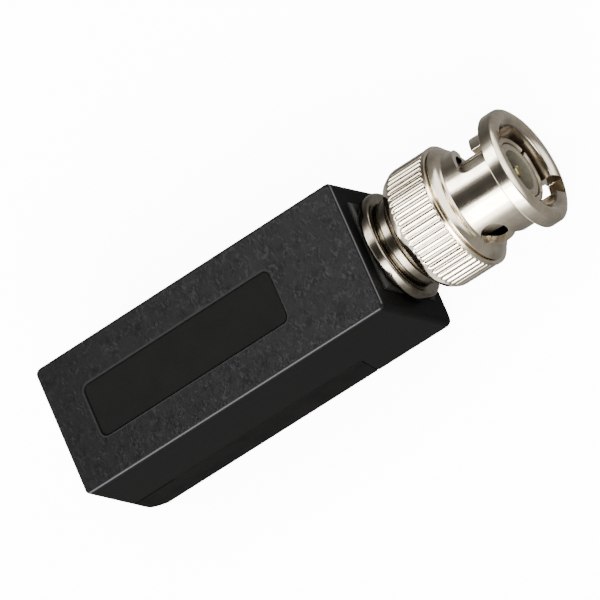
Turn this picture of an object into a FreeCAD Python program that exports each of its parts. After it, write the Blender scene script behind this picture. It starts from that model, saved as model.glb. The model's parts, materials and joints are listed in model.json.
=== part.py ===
import FreeCAD, Part
import math
import os
from FreeCAD import Vector

# Passive video balun: a small moulded case with a bayonet plug on one end and
# a screw terminal behind the other. Millimetres, +Z up. The case lies on its
# flat belly with the label face up; +X runs from the wire end to the plug.
# The origin is the centre of the resting face of the case.

# Case
CASE_LENGTH = 41.6
CASE_WIDTH = 15.8
CASE_HEIGHT = 14.9
DRAFT_ANGLE = 0.9
CORNER_RADIUS = 0.7
TOP_CHAMFER = 0.3
SIDE_WALL = 1.4
ROOF_WALL = 1.5
FLOOR_WALL = 1.5
CONNECTOR_WALL = 1.7
BELLY_RISE = 0.5
BELLY_RUN = 3.0
HEEL_RADIUS = 4.0
TOE_LENGTH = 3.4
TOE_RISE = 0.25

# Parting line between the case and its bottom cover
SEAM_HEIGHT = 5.55
SEAM_GAP = 0.12
COVER_SETBACK = 9.1
COVER_LEAN = 0.9
LIP_HEIGHT = 0.9
LIP_THICKNESS = 0.6
LIP_CLEARANCE = 0.05
PRY_LENGTH = 6.0
PRY_HEIGHT = 0.3

# Label in its recess on the top face
LABEL_LENGTH = 26.2
LABEL_WIDTH = 6.6
LABEL_SHIFT = 3.1
LABEL_DEPTH = 0.3
LABEL_RADIUS = 0.9
LABEL_SLOPE = 0.12
LABEL_THICKNESS = 0.12
LABEL_CLEARANCE = 0.05

# Square moulded block that carries the plug in the end wall
AXIS_HEIGHT = 7.5
BLOCK_SIDE = 10.8
BLOCK_PROUD = 0.5
BLOCK_CLEARANCE = 0.05
BLOCK_EDGE = 0.25
BLOCK_FLANGE = 1.4
BLOCK_FLANGE_CLEARANCE = 0.6

# Rear body of the plug
BASE_RING_RADIUS = 6.5
BASE_RING_WIDTH = 1.5
BASE_RING_ROUND = 0.5
GROOVE_RADIUS = 4.9
GROOVE_WIDTH = 0.3
COLLAR_RADIUS = 5.3
COLLAR_WIDTH = 1.05
COLLAR_EDGE = 0.22
TAIL_RADIUS = 2.6
TAIL_CLEARANCE = 0.05
TAIL_BORE = 1.9
TAIL_OVERHANG = 0.3
SPIGOT_RADIUS = 3.7
SPIGOT_LENGTH = 2.05

# Ring and solder tag that hold the plug from inside the case
TAG_THICKNESS = 0.4
TAG_RADIUS = 3.7
TAG_WIDTH = 3.0
TAG_FOOT = 4.1
LOCK_RING_RADIUS = 3.65
LOCK_RING_WIDTH = 1.2

# Outer contact of the plug
NECK_RADIUS = 4.4
STOP_RADIUS = 6.12
STOP_WIDTH = 1.2
CONTACT_RADIUS = 4.05
CONTACT_EDGE = 0.15
CONTACT_BORE = 3.4
CONTACT_RECESS = 1.5
FINGER_COUNT = 4
FINGER_SLOT = 0.45
FINGER_LENGTH = 5.2

# Insulator, centre pin and gasket
INSULATOR_RECESS = 0.15
INSULATOR_NOSE_RADIUS = 3.25
INSULATOR_WELL = 5.2
INSULATOR_WELL_RADIUS = 2.45
PIN_RADIUS = 0.675
PIN_STEM_RADIUS = 1.1
PIN_RECESS = 1.7
PIN_TAIL_RADIUS = 0.7
PIN_TAIL_LENGTH = 3.2
PIN_CUP_DEPTH = 1.6
GASKET_RADIUS = 4.6
GASKET_SEAT = 3.8
GASKET_WIDTH = 1.5

# Bayonet nut
NUT_GAP = 0.9
NUT_LENGTH = 15.2
NUT_BORE = 4.9
NUT_REAR_BORE = 6.2
NUT_REAR_RADIUS = 6.7
NUT_REAR_TAPER = 1.1
NUT_PLAY = 0.05
KNURL_RADIUS = 7.3
KNURL_LENGTH = 4.4
KNURL_COUNT = 56
KNURL_DEPTH = 0.2
KNURL_SPLAY = 0.36
RELIEF_WIDTH = 0.2
RELIEF_DEPTH = 0.25
RIM_RADIUS = 7.35
RIM_WIDTH = 0.4
HAIRLINE_WIDTH = 0.14
HAIRLINE_DEPTH = 0.3
SHOULDER_RADIUS = 6.9
SHOULDER_WIDTH = 0.1
SHOULDER_FALL = 1.0
SHOULDER_BULGE = 0.6
BARREL_RADIUS = 5.7
FLANGE_RADIUS = 7.0
FLANGE_WIDTH = 2.0
FLANGE_EDGE = 0.12
LIP_DEPTH = 0.5
LIP_CREST_RADIUS = 5.95
LIP_CREST_WIDTH = 0.3
LIP_SHOULDER_DEPTH = 0.12
LIP_SHOULDER_WIDTH = 0.3

# Bayonet slots: entry grooves from the mouth, ramps and round detents
SLOT_WIDTH = 2.3
ENTRY_RADIUS = 6.2
RAMP_START = 4.8
RAMP_DROP = 1.85
RAMP_SWEEP = 90.0
DETENT_RADIUS = 1.5
DETENT_DEPTH = 6.55
SLOT_CLOCK = 19.4

# Spring stack that draws the nut back
RETAINER_WIDTH = 0.8
RETAINER_INSET = 0.65
RETAINER_BORE = 4.75
RETAINER_GROOVE = 6.6
RETAINER_RADIUS = 6.55
RETAINER_GAP = 1.6
RETAINER_PLAY = 0.03
WASHER_WIDTH = 0.4
WASHER_CLEARANCE = 0.08
WAVE_HEIGHT = 1.0
WAVE_THICKNESS = 0.25
WAVE_BORE_GAP = 0.2
WAVE_COUNT = 3
STACK_PLAY = 0.03

# Circuit board
BOARD_RISE = 0.1
BOARD_THICKNESS = 1.0
BOARD_SIDE_GAP = 0.5
BOARD_FRONT_GAP = 0.4
BOARD_REAR_GAP = 0.3
POST_RADIUS = 1.0
POST_SPREAD = 4.6

# Screw terminal
POLE_PITCH = 5.0
TERMINAL_GAP = 0.1
TERMINAL_DEPTH = 7.4
TERMINAL_WIDTH = 10.0
TERMINAL_HEIGHT = 8.0
TERMINAL_BEVEL = 2.0
SCREW_SETBACK = 2.9
CAGE_DEPTH = 3.2
CAGE_WIDTH = 3.4
CAGE_SIDE = 0.5
CAGE_TOP = 0.6
CAGE_BRIDGE = 0.8
CAGE_CLEARANCE = 0.15
CAGE_HEADROOM = 0.1
TERMINAL_CEILING = 0.5
WIRE_SPACE = 2.0
BAR_THICKNESS = 0.5
BAR_WIDTH = 2.0
BAR_GAP = 0.1
BAR_REACH = 2.1
LEG_SETBACK = 2.4
LEG_STANDOUT = 1.1
SCREW_RADIUS = 1.2
SCREW_CLEARANCE = 0.05
SCREW_TIP_GAP = 0.2
HEAD_RADIUS = 1.6
HEAD_HEIGHT = 1.1
HEAD_SINK = 0.3
HEAD_SLOT = 0.5
SHELF_THICKNESS = 0.4
SHELF_CLEARANCE = 0.15
WELL_CLEARANCE = 0.15
ACCESS_CLEARANCE = 0.2
MOUTH_WIDTH = 2.4
MOUTH_FLARE = 0.3

# Parts on the underside of the board
LEAD_RADIUS = 0.35
LEAD_BEND = 1.0
LEAD_RUN = 0.2
LEAD_STANDOUT = 0.7
LEAD_CLEARANCE = 0.08
CORE_SETBACK = 15.5
CORE_RADIUS = 3.7
CORE_BORE = 1.9
CORE_WIDTH = 3.0
WINDING_THICKNESS = 0.35
WINDING_SWEEP = 150.0
WINDING_START_ANGLE = 15.0
WINDING_OVERRUN_ANGLE = 5.0
SUPPRESSOR_SETBACK = 22.4
SUPPRESSOR_RADIUS = 2.5
SUPPRESSOR_WIDTH = 2.2
SUPPRESSOR_DROP = 0.5
SUPPRESSOR_PITCH = 2.6
CAPACITOR_SETBACK = 26.4
CAPACITOR_LENGTH = 2.2
CAPACITOR_WIDTH = 4.6
CAPACITOR_HEIGHT = 3.2
RESISTOR_SETBACK = 30.0
RESISTOR_RADIUS = 0.85
RESISTOR_LENGTH = 3.4

# Stations along X that more than one piece uses
SLOPE = math.tan(math.radians(DRAFT_ANGLE))
X_END = CASE_LENGTH / 2
X_FAR = -CASE_LENGTH / 2
X_WALL_IN = X_END - CONNECTOR_WALL
X_FLANGE_REAR = X_WALL_IN - BLOCK_FLANGE
X_TAG_REAR = X_FLANGE_REAR - TAG_THICKNESS
X_LOCK_REAR = X_TAG_REAR - LOCK_RING_WIDTH
X_TAIL_REAR = X_LOCK_REAR - TAIL_OVERHANG
X_BLOCK = X_END + BLOCK_PROUD
X_RING = X_BLOCK + BASE_RING_WIDTH
X_GROOVE = X_RING + GROOVE_WIDTH
X_COLLAR = X_GROOVE + COLLAR_WIDTH
X_SPIGOT = X_COLLAR - SPIGOT_LENGTH
X_NUT_REAR = X_COLLAR + NUT_GAP
X_NUT_FRONT = X_NUT_REAR + NUT_LENGTH
X_RETAINER = X_NUT_REAR + RETAINER_INSET
X_WASHER = X_RETAINER + RETAINER_WIDTH + STACK_PLAY
X_WAVE = X_WASHER + WASHER_WIDTH
X_STOP = X_WAVE + WAVE_HEIGHT + STACK_PLAY
X_STOP_FRONT = X_STOP + STOP_WIDTH
X_SHOULDER = X_STOP_FRONT + NUT_PLAY
X_SEAT_FRONT = X_STOP_FRONT + GASKET_WIDTH
X_CONTACT = X_NUT_FRONT - CONTACT_RECESS
X_INSULATOR = X_CONTACT - INSULATOR_RECESS
X_WELL = X_INSULATOR - INSULATOR_WELL
X_PIN = X_NUT_FRONT - PIN_RECESS
X_PIN_TAIL = X_TAIL_REAR - PIN_TAIL_LENGTH
X_LEAD = X_PIN_TAIL - LEAD_RUN - LEAD_BEND
X_BOARD_FRONT = X_TAIL_REAR - BOARD_FRONT_GAP
X_TERMINAL = X_FAR + SIDE_WALL + TERMINAL_GAP
X_SCREW = X_TERMINAL + SCREW_SETBACK
X_LEG = X_SCREW + LEG_SETBACK
X_BOARD_REAR = X_TERMINAL + BOARD_REAR_GAP

# Levels that more than one piece uses
Z_ROOF = CASE_HEIGHT - ROOF_WALL
Z_BOARD_TOP = AXIS_HEIGHT + LOCK_RING_RADIUS + BOARD_RISE
Z_BOARD = Z_BOARD_TOP - BOARD_THICKNESS
Z_TERMINAL = Z_BOARD - TERMINAL_HEIGHT
Z_HEAD = Z_TERMINAL + HEAD_SINK
Z_SHELF = Z_HEAD + HEAD_HEIGHT
Z_CAGE_ROOM = Z_SHELF + SHELF_THICKNESS
Z_CEILING = Z_BOARD - TERMINAL_CEILING
Z_CAGE_TOP = Z_CEILING - CAGE_HEADROOM
Z_WIRE_TOP = Z_CAGE_TOP - CAGE_TOP
Z_BAR_TOP = Z_WIRE_TOP - WIRE_SPACE
Z_BAR = Z_BAR_TOP - BAR_THICKNESS
Z_BRIDGE_TOP = Z_BAR - BAR_GAP
Z_BRIDGE = Z_BRIDGE_TOP - CAGE_BRIDGE
Z_WIRE = (Z_BAR_TOP + Z_WIRE_TOP) / 2

ON_AXIS = Vector(0, 0, AXIS_HEIGHT)
ALONG = Vector(1, 0, 0)
ACROSS = Vector(0, 1, 0)
UP = Vector(0, 0, 1)


def box(x0, x1, y0, y1, z0, z1):
    """Block between two opposite corners."""
    return Part.makeBox(x1 - x0, y1 - y0, z1 - z0, Vector(x0, y0, z0))


def prism(points, direction):
    """Closed outline through the points, pushed out along a direction."""
    return Part.Face(Part.makePolygon(points + points[:1])).extrude(direction)


def round_outline(x0, x1, half_width, radius, z):
    """Rounded rectangle at height z, symmetric about Y = 0."""
    r = min(radius, half_width * 0.9, (x1 - x0) * 0.45)
    d = r * (1 - math.sqrt(0.5))
    y0 = -half_width
    y1 = half_width
    lines = [
        (Vector(x0 + r, y0, z), Vector(x1 - r, y0, z)),
        (Vector(x1, y0 + r, z), Vector(x1, y1 - r, z)),
        (Vector(x1 - r, y1, z), Vector(x0 + r, y1, z)),
        (Vector(x0, y1 - r, z), Vector(x0, y0 + r, z)),
    ]
    mids = [
        Vector(x1 - d, y0 + d, z),
        Vector(x1 - d, y1 - d, z),
        Vector(x0 + d, y1 - d, z),
        Vector(x0 + d, y0 + d, z),
    ]
    edges = []
    for i in range(4):
        edges.append(Part.makeLine(*lines[i]))
        arc = Part.Arc(lines[i][1], mids[i], lines[(i + 1) % 4][0])
        edges.append(arc.toShape())
    return Part.Wire(edges)


def turned(points):
    """Solid of revolution about the plug axis from (station, radius) points.

    A point with four numbers ends an arc: through the first pair to the second.
    """
    edges = []
    at = Vector(points[0][0], 0, AXIS_HEIGHT + points[0][1])
    first = at
    for p in points[1:] + points[:1]:
        to = Vector(p[-2], 0, AXIS_HEIGHT + p[-1])
        if len(p) == 4:
            mid = Vector(p[0], 0, AXIS_HEIGHT + p[1])
            edges.append(Part.Arc(at, mid, to).toShape())
        elif at.distanceToPoint(to) > 1e-7:
            edges.append(Part.makeLine(at, to))
        at = to
    face = Part.Face(Part.Wire(edges))
    return face.revolve(Vector(first.x, 0, AXIS_HEIGHT), ALONG, 360)


def rod(x0, x1, radius):
    """Plain round bar on the plug axis."""
    return Part.makeCylinder(radius, x1 - x0, Vector(x0, 0, AXIS_HEIGHT), ALONG)


def tube(x0, x1, outer, inner):
    """Plain round tube on the plug axis."""
    return rod(x0, x1, outer).cut(rod(x0 - 1, x1 + 1, inner))


def clocked(shape, degrees):
    """Copy turned about the plug axis, from +Z towards +Y."""
    copy = shape.copy()
    copy.rotate(ON_AXIS, ALONG, -degrees)
    return copy


def case_envelope(inset, end_wall, floor, roof):
    """Drafted, round-cornered block with the heel curve, taken in by the walls."""
    low = floor
    high = CASE_HEIGHT - roof
    edge = TOP_CHAMFER if inset == 0 else 0

    def outline(z, step):
        lean = SLOPE * (CASE_HEIGHT - z)
        x1 = X_END + lean if inset == 0 else X_END - end_wall
        return round_outline(
            X_FAR - lean + inset + step,
            x1 - step,
            CASE_WIDTH / 2 + lean - inset - step,
            max(CORNER_RADIUS - inset, 0.3) - step / 2,
            z,
        )

    sections = [outline(low, 0), outline(high - edge, 0)]
    if edge:
        sections.append(outline(high, edge))
    block = Part.makeLoft(sections, True, True)
    far = X_FAR - SLOPE * CASE_HEIGHT
    mid = Vector(far + HEEL_RADIUS, 0, HEEL_RADIUS)
    r = HEEL_RADIUS - inset
    s = r * math.sqrt(0.5)
    wide = CASE_WIDTH
    a = Vector(mid.x - r, -wide, mid.z)
    b = Vector(mid.x, -wide, mid.z - r)
    arc = Part.Arc(a, Vector(mid.x - s, -wide, mid.z - s), b).toShape()
    toe = Vector(X_END - TOE_LENGTH, -wide, b.z)
    past = CASE_LENGTH
    rise = TOE_RISE / TOE_LENGTH * (past + TOE_LENGTH) if inset == 0 else 0
    far_corner = Vector(X_END + past, -wide, b.z + rise)
    top_corner = Vector(far_corner.x, -wide, CASE_HEIGHT * 2)
    back_corner = Vector(a.x, -wide, top_corner.z)
    straight = Part.makePolygon([b, toe, far_corner, top_corner, back_corner, a])
    side_view = Part.Face(Part.Wire([arc] + straight.Edges))
    return block.common(side_view.extrude(Vector(0, 2 * wide, 0)))


def belly_prism():
    """Long prism whose underside is flat in the middle and eased to the sides."""
    half = CASE_WIDTH / 2 + SLOPE * CASE_HEIGHT
    x0 = X_FAR - CASE_LENGTH
    tall = CASE_HEIGHT * 2
    points = [
        Vector(x0, -half, tall),
        Vector(x0, -half, BELLY_RISE),
        Vector(x0, -half + BELLY_RUN, 0),
        Vector(x0, half - BELLY_RUN, 0),
        Vector(x0, half, BELLY_RISE),
        Vector(x0, half, tall),
    ]
    return prism(points, Vector(CASE_LENGTH * 3, 0, 0))


def cover_region(gap):
    """Everything under the seam and behind the leaning front edge of the cover."""
    x0 = X_FAR - CASE_LENGTH
    x_seam = X_END - COVER_SETBACK - gap
    lean = COVER_LEAN / SEAM_HEIGHT
    z_top = SEAM_HEIGHT - gap
    wide = CASE_WIDTH
    points = [
        Vector(x0, -wide, -1),
        Vector(x_seam - lean * (SEAM_HEIGHT + 1), -wide, -1),
        Vector(x_seam - lean * gap, -wide, z_top),
        Vector(x0, -wide, z_top),
    ]
    return prism(points, Vector(0, 2 * wide, 0))


def lip_band(clearance):
    """Inner half of the wall just above the seam, for the tongue or its groove."""
    x1 = X_END - COVER_SETBACK - SEAM_GAP - LIP_THICKNESS + clearance
    z0 = SEAM_HEIGHT - SEAM_GAP - LIP_THICKNESS
    z1 = SEAM_HEIGHT - SEAM_GAP + LIP_HEIGHT + clearance
    inset = SIDE_WALL - LIP_THICKNESS - clearance
    outer = case_envelope(inset, CONNECTOR_WALL, 0, 0)
    inner = case_envelope(SIDE_WALL, CONNECTOR_WALL, 0, 0)
    wide = CASE_WIDTH
    span = box(X_FAR - CASE_LENGTH, x1, -wide, wide, z0, z1)
    return outer.cut(inner).common(span)


def board_posts(z0, z1, stations):
    """Pairs of round posts that pinch the board from above or below."""
    posts = []
    for x in stations:
        for side in (-1, 1):
            foot = Vector(x, side * POST_SPREAD, z0)
            posts.append(Part.makeCylinder(POST_RADIUS, z1 - z0, foot, UP))
    return posts


def pole_places():
    """Middle of each terminal pole across the case."""
    return [-POLE_PITCH / 2, POLE_PITCH / 2]


def wire_mouth(y, x0, x1, flare_at_x0):
    """Flared opening for a stripped wire, from station x0 to x1."""
    half = MOUTH_WIDTH / 2
    tall = WIRE_SPACE / 2
    sections = []
    for x, grow in ((x0, flare_at_x0), (x1, 0.0)):
        corners = []
        for sy, sz in ((-1, -1), (1, -1), (1, 1), (-1, 1)):
            dy = sy * (half + grow)
            dz = sz * (tall + grow)
            corners.append(Vector(x, y + dy, Z_WIRE + dz))
        sections.append(Part.makePolygon(corners + corners[:1]))
    return Part.makeLoft(sections, True, True)


def upper_and_cover():
    """Upper housing and bottom cover, cut from one drafted shell."""
    outer = case_envelope(0, 0, 0, 0).common(belly_prism())
    cavity = case_envelope(SIDE_WALL, CONNECTOR_WALL, FLOOR_WALL, ROOF_WALL)
    shell = outer.cut(cavity)
    stations = [X_BOARD_FRONT - POST_RADIUS * 3, X_LEG + 4 * POST_RADIUS + 1]

    # Upper housing
    upper = shell.cut(cover_region(0))
    upper = upper.cut(lip_band(LIP_CLEARANCE))
    upper = upper.fuse(board_posts(Z_BOARD_TOP, Z_ROOF + 0.5, stations))
    half = BLOCK_SIDE / 2 + BLOCK_CLEARANCE
    window = box(
        X_WALL_IN - 1,
        X_END + 2,
        -half,
        half,
        AXIS_HEIGHT - half,
        AXIS_HEIGHT + half,
    )
    upper = upper.cut(window)
    for y in pole_places():
        x_in = X_FAR + SIDE_WALL + 0.5
        x_out = X_FAR - SLOPE * CASE_HEIGHT - 0.1
        upper = upper.cut(wire_mouth(y, x_out, x_in, MOUTH_FLARE))
    pocket = []
    for z, step in ((-LABEL_DEPTH, LABEL_SLOPE), (0.0, 0.0), (1.0, 0.0)):
        pocket.append(label_outline(step, CASE_HEIGHT + z))
    upper = upper.cut(Part.makeLoft(pocket, True, True))

    # Bottom cover
    cover = shell.common(cover_region(SEAM_GAP))
    cover = cover.fuse(lip_band(0).common(below_lip()))
    cover = cover.fuse(board_posts(FLOOR_WALL - 0.5, Z_BOARD, stations[1:]))
    for y in pole_places():
        hole = HEAD_RADIUS + ACCESS_CLEARANCE
        foot = Vector(X_SCREW, y, -1)
        cover = cover.cut(Part.makeCylinder(hole, FLOOR_WALL + 2, foot, UP))
    for side in (-1, 1):
        y0 = side * (CASE_WIDTH / 2 - SIDE_WALL + LIP_THICKNESS)
        y1 = side * CASE_WIDTH
        notch = box(
            X_FAR - 2,
            X_FAR + PRY_LENGTH,
            min(y0, y1),
            max(y0, y1),
            SEAM_HEIGHT - SEAM_GAP - PRY_HEIGHT,
            SEAM_HEIGHT,
        )
        cover = cover.cut(notch)
    return upper.removeSplitter(), cover.removeSplitter()


def below_lip():
    """Room for the tongue: everything under its top edge."""
    wide = CASE_WIDTH
    top = SEAM_HEIGHT - SEAM_GAP + LIP_HEIGHT
    return box(X_FAR - wide, X_END, -wide, wide, 0, top)


def label_outline(step, z):
    """Outline of the label recess, taken in by a step."""
    x = -LABEL_SHIFT
    return round_outline(
        x - LABEL_LENGTH / 2 + step,
        x + LABEL_LENGTH / 2 - step,
        LABEL_WIDTH / 2 - step,
        LABEL_RADIUS - step / 2,
        z,
    )


def label_plate():
    """Thin bare label lying in the recess."""
    step = LABEL_SLOPE + LABEL_CLEARANCE
    outline = label_outline(step, CASE_HEIGHT - LABEL_DEPTH)
    return Part.Face(outline).extrude(Vector(0, 0, LABEL_THICKNESS))


def connector_block():
    """Square block in the window, with a flange behind the end wall."""
    half = BLOCK_SIDE / 2
    low = AXIS_HEIGHT - half
    high = AXIS_HEIGHT + half
    front = box(X_WALL_IN, X_BLOCK, -half, half, low, high)
    rim = []
    for e in front.Edges:
        ends = [v.Point.x for v in e.Vertexes]
        if min(ends) > X_BLOCK - 1e-6:
            rim.append(e)
    front = front.makeChamfer(BLOCK_EDGE, rim)
    wide = CASE_WIDTH / 2 - SIDE_WALL - BLOCK_FLANGE_CLEARANCE
    flange = box(
        X_FLANGE_REAR,
        X_WALL_IN,
        -wide,
        wide,
        FLOOR_WALL + BLOCK_FLANGE_CLEARANCE,
        Z_ROOF - BLOCK_FLANGE_CLEARANCE,
    )
    hole = rod(X_FLANGE_REAR - 1, X_BLOCK + 1, TAIL_RADIUS + TAIL_CLEARANCE)
    return front.fuse(flange).cut(hole).removeSplitter()


def eased(x_from, x_to, radius, round_off):
    """Bead between two stations, each round edge as two short cones."""
    q = round_off
    near = 0.3 * q
    step = 1 if x_to > x_from else -1
    return [
        (x_from, radius - q),
        (x_from + step * near, radius - near),
        (x_from + step * q, radius),
        (x_to - step * q, radius),
        (x_to - step * near, radius - near),
        (x_to, radius - q),
    ]


def connector_body():
    """Rear body: beaded base ring, fine groove, collar and the tail."""
    profile = [
        (X_TAIL_REAR, TAIL_BORE),
        (X_TAIL_REAR, TAIL_RADIUS),
        (X_BLOCK, TAIL_RADIUS),
    ]
    profile += eased(X_BLOCK, X_RING, BASE_RING_RADIUS, BASE_RING_ROUND)
    profile += [
        (X_RING, GROOVE_RADIUS),
        (X_GROOVE, GROOVE_RADIUS),
    ]
    profile += eased(X_GROOVE, X_COLLAR, COLLAR_RADIUS, COLLAR_EDGE)
    profile += [
        (X_COLLAR, SPIGOT_RADIUS),
        (X_SPIGOT, SPIGOT_RADIUS),
        (X_SPIGOT, TAIL_BORE),
    ]
    return turned(profile)


def lock_ring():
    """Ring on the tail that pulls the base ring against the block."""
    return tube(X_LOCK_REAR, X_TAG_REAR, LOCK_RING_RADIUS, TAIL_RADIUS)


def ground_tag():
    """Washer on the tail with a strap that folds over the board."""
    ring = tube(X_TAG_REAR, X_FLANGE_REAR, TAG_RADIUS, TAIL_RADIUS)
    half = TAG_WIDTH / 2
    top = Z_BOARD_TOP + TAG_THICKNESS
    low = AXIS_HEIGHT + TAIL_RADIUS + 0.3
    strap = box(X_TAG_REAR, X_FLANGE_REAR, -half, half, low, top)
    foot = box(X_TAG_REAR - TAG_FOOT, X_TAG_REAR, -half, half, Z_BOARD_TOP, top)
    return ring.fuse([strap, foot]).removeSplitter()


def outer_contact():
    """Neck, stop flange and the slotted sleeve that enters the mating jack."""
    e = CONTACT_EDGE
    contact = turned(
        [
            (X_SPIGOT, CONTACT_BORE),
            (X_SPIGOT, SPIGOT_RADIUS),
            (X_COLLAR, SPIGOT_RADIUS),
            (X_COLLAR, NECK_RADIUS),
            (X_STOP, NECK_RADIUS),
            (X_STOP, STOP_RADIUS),
            (X_STOP_FRONT, STOP_RADIUS),
            (X_STOP_FRONT, GASKET_SEAT),
            (X_SEAT_FRONT, GASKET_SEAT),
            (X_SEAT_FRONT, CONTACT_RADIUS),
            (X_CONTACT - e, CONTACT_RADIUS),
            (X_CONTACT, CONTACT_RADIUS - e),
            (X_CONTACT, CONTACT_BORE),
        ]
    )
    slots = []
    reach = CONTACT_RADIUS + 1
    half = FINGER_SLOT / 2
    one = box(
        X_CONTACT - FINGER_LENGTH,
        X_CONTACT + 1,
        -half,
        half,
        AXIS_HEIGHT + CONTACT_BORE - 0.5,
        AXIS_HEIGHT + reach,
    )
    for i in range(FINGER_COUNT):
        slots.append(clocked(one, (i + 0.5) * 360.0 / FINGER_COUNT))
    return contact.cut(slots)


def insulator():
    """White insulating body, eased along the fingers so that they can spring."""
    x_nose = X_CONTACT - FINGER_LENGTH
    return turned(
        [
            (X_TAIL_REAR, PIN_STEM_RADIUS),
            (X_TAIL_REAR, TAIL_BORE),
            (X_SPIGOT, TAIL_BORE),
            (X_SPIGOT, CONTACT_BORE),
            (x_nose, CONTACT_BORE),
            (x_nose, INSULATOR_NOSE_RADIUS),
            (X_INSULATOR, INSULATOR_NOSE_RADIUS),
            (X_INSULATOR, INSULATOR_WELL_RADIUS),
            (X_WELL, INSULATOR_WELL_RADIUS),
            (X_WELL, PIN_STEM_RADIUS),
        ]
    )


def centre_pin():
    """Gold pin with a round nose in front and a solder cup behind."""
    r = PIN_RADIUS
    k = r * math.sqrt(0.5)
    pin = turned(
        [
            (X_PIN_TAIL, 0),
            (X_PIN_TAIL, PIN_TAIL_RADIUS),
            (X_TAIL_REAR, PIN_TAIL_RADIUS),
            (X_TAIL_REAR, PIN_STEM_RADIUS),
            (X_WELL, PIN_STEM_RADIUS),
            (X_WELL, r),
            (X_PIN - r, r),
            (X_PIN - r + k, k, X_PIN, 0),
        ]
    )
    return pin.cut(rod(X_PIN_TAIL - 1, X_PIN_TAIL + PIN_CUP_DEPTH, LEAD_RADIUS))


def gasket():
    """Rubber ring on its seat at the foot of the sleeve."""
    return tube(X_STOP_FRONT, X_SEAT_FRONT, GASKET_RADIUS, GASKET_SEAT)


def nut_profile():
    """Outline of the bayonet nut from its rear bore round to its rounded lip."""
    x_knurl = X_NUT_REAR + NUT_REAR_TAPER
    x_relief = x_knurl + KNURL_LENGTH
    x_rim = x_relief + RELIEF_WIDTH
    x_hair = x_rim + RIM_WIDTH
    x_shoulder = x_hair + HAIRLINE_WIDTH
    x_fall = x_shoulder + SHOULDER_WIDTH
    x_barrel = x_fall + SHOULDER_FALL
    x_flange = X_NUT_FRONT - FLANGE_WIDTH
    drop = SHOULDER_RADIUS - BARREL_RADIUS
    e = FLANGE_EDGE
    x_lip = X_NUT_FRONT - LIP_DEPTH
    x_ease = X_NUT_FRONT - LIP_SHOULDER_DEPTH
    crest = LIP_CREST_WIDTH / 2
    ease = crest + LIP_SHOULDER_WIDTH
    bulge = SHOULDER_BULGE
    return [
        (X_NUT_REAR, NUT_REAR_BORE),
        (X_NUT_REAR, NUT_REAR_RADIUS),
        (x_knurl, KNURL_RADIUS),
        (x_relief, KNURL_RADIUS),
        (x_relief + RELIEF_WIDTH / 2, KNURL_RADIUS - RELIEF_DEPTH),
        (x_rim, RIM_RADIUS),
        (x_hair, RIM_RADIUS),
        (x_hair, SHOULDER_RADIUS - HAIRLINE_DEPTH),
        (x_shoulder, SHOULDER_RADIUS - HAIRLINE_DEPTH),
        (x_shoulder, SHOULDER_RADIUS),
        (x_fall, SHOULDER_RADIUS),
        (x_fall + SHOULDER_FALL * bulge, BARREL_RADIUS + drop * bulge),
        (x_barrel, BARREL_RADIUS),
        (x_flange, BARREL_RADIUS),
        (x_flange, FLANGE_RADIUS - e),
        (x_flange + e, FLANGE_RADIUS),
        (x_lip, FLANGE_RADIUS),
        (x_ease, LIP_CREST_RADIUS + ease),
        (X_NUT_FRONT, LIP_CREST_RADIUS + crest),
        (X_NUT_FRONT, LIP_CREST_RADIUS - crest),
        (x_ease, LIP_CREST_RADIUS - ease),
        (x_lip, NUT_BORE),
        (X_SHOULDER, NUT_BORE),
        (X_SHOULDER, NUT_REAR_BORE),
        (X_RETAINER + RETAINER_WIDTH, NUT_REAR_BORE),
        (X_RETAINER + RETAINER_WIDTH, RETAINER_GROOVE),
        (X_RETAINER, RETAINER_GROOVE),
        (X_RETAINER, NUT_REAR_BORE),
    ]


def knurl_grooves():
    """Straight grooves that run out into the rear taper and the relief."""
    x0 = X_NUT_REAR - 1
    x1 = X_NUT_REAR + NUT_REAR_TAPER + KNURL_LENGTH + RELIEF_WIDTH / 2
    root = AXIS_HEIGHT + KNURL_RADIUS - KNURL_DEPTH
    over = KNURL_DEPTH * 1.5
    half = KNURL_SPLAY / 2 * (KNURL_DEPTH + over) / KNURL_DEPTH
    points = [
        Vector(x0, 0, root),
        Vector(x0, half, root + KNURL_DEPTH + over),
        Vector(x0, -half, root + KNURL_DEPTH + over),
    ]
    one = prism(points, Vector(x1 - x0, 0, 0))
    return [clocked(one, i * 360.0 / KNURL_COUNT) for i in range(KNURL_COUNT)]


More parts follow.
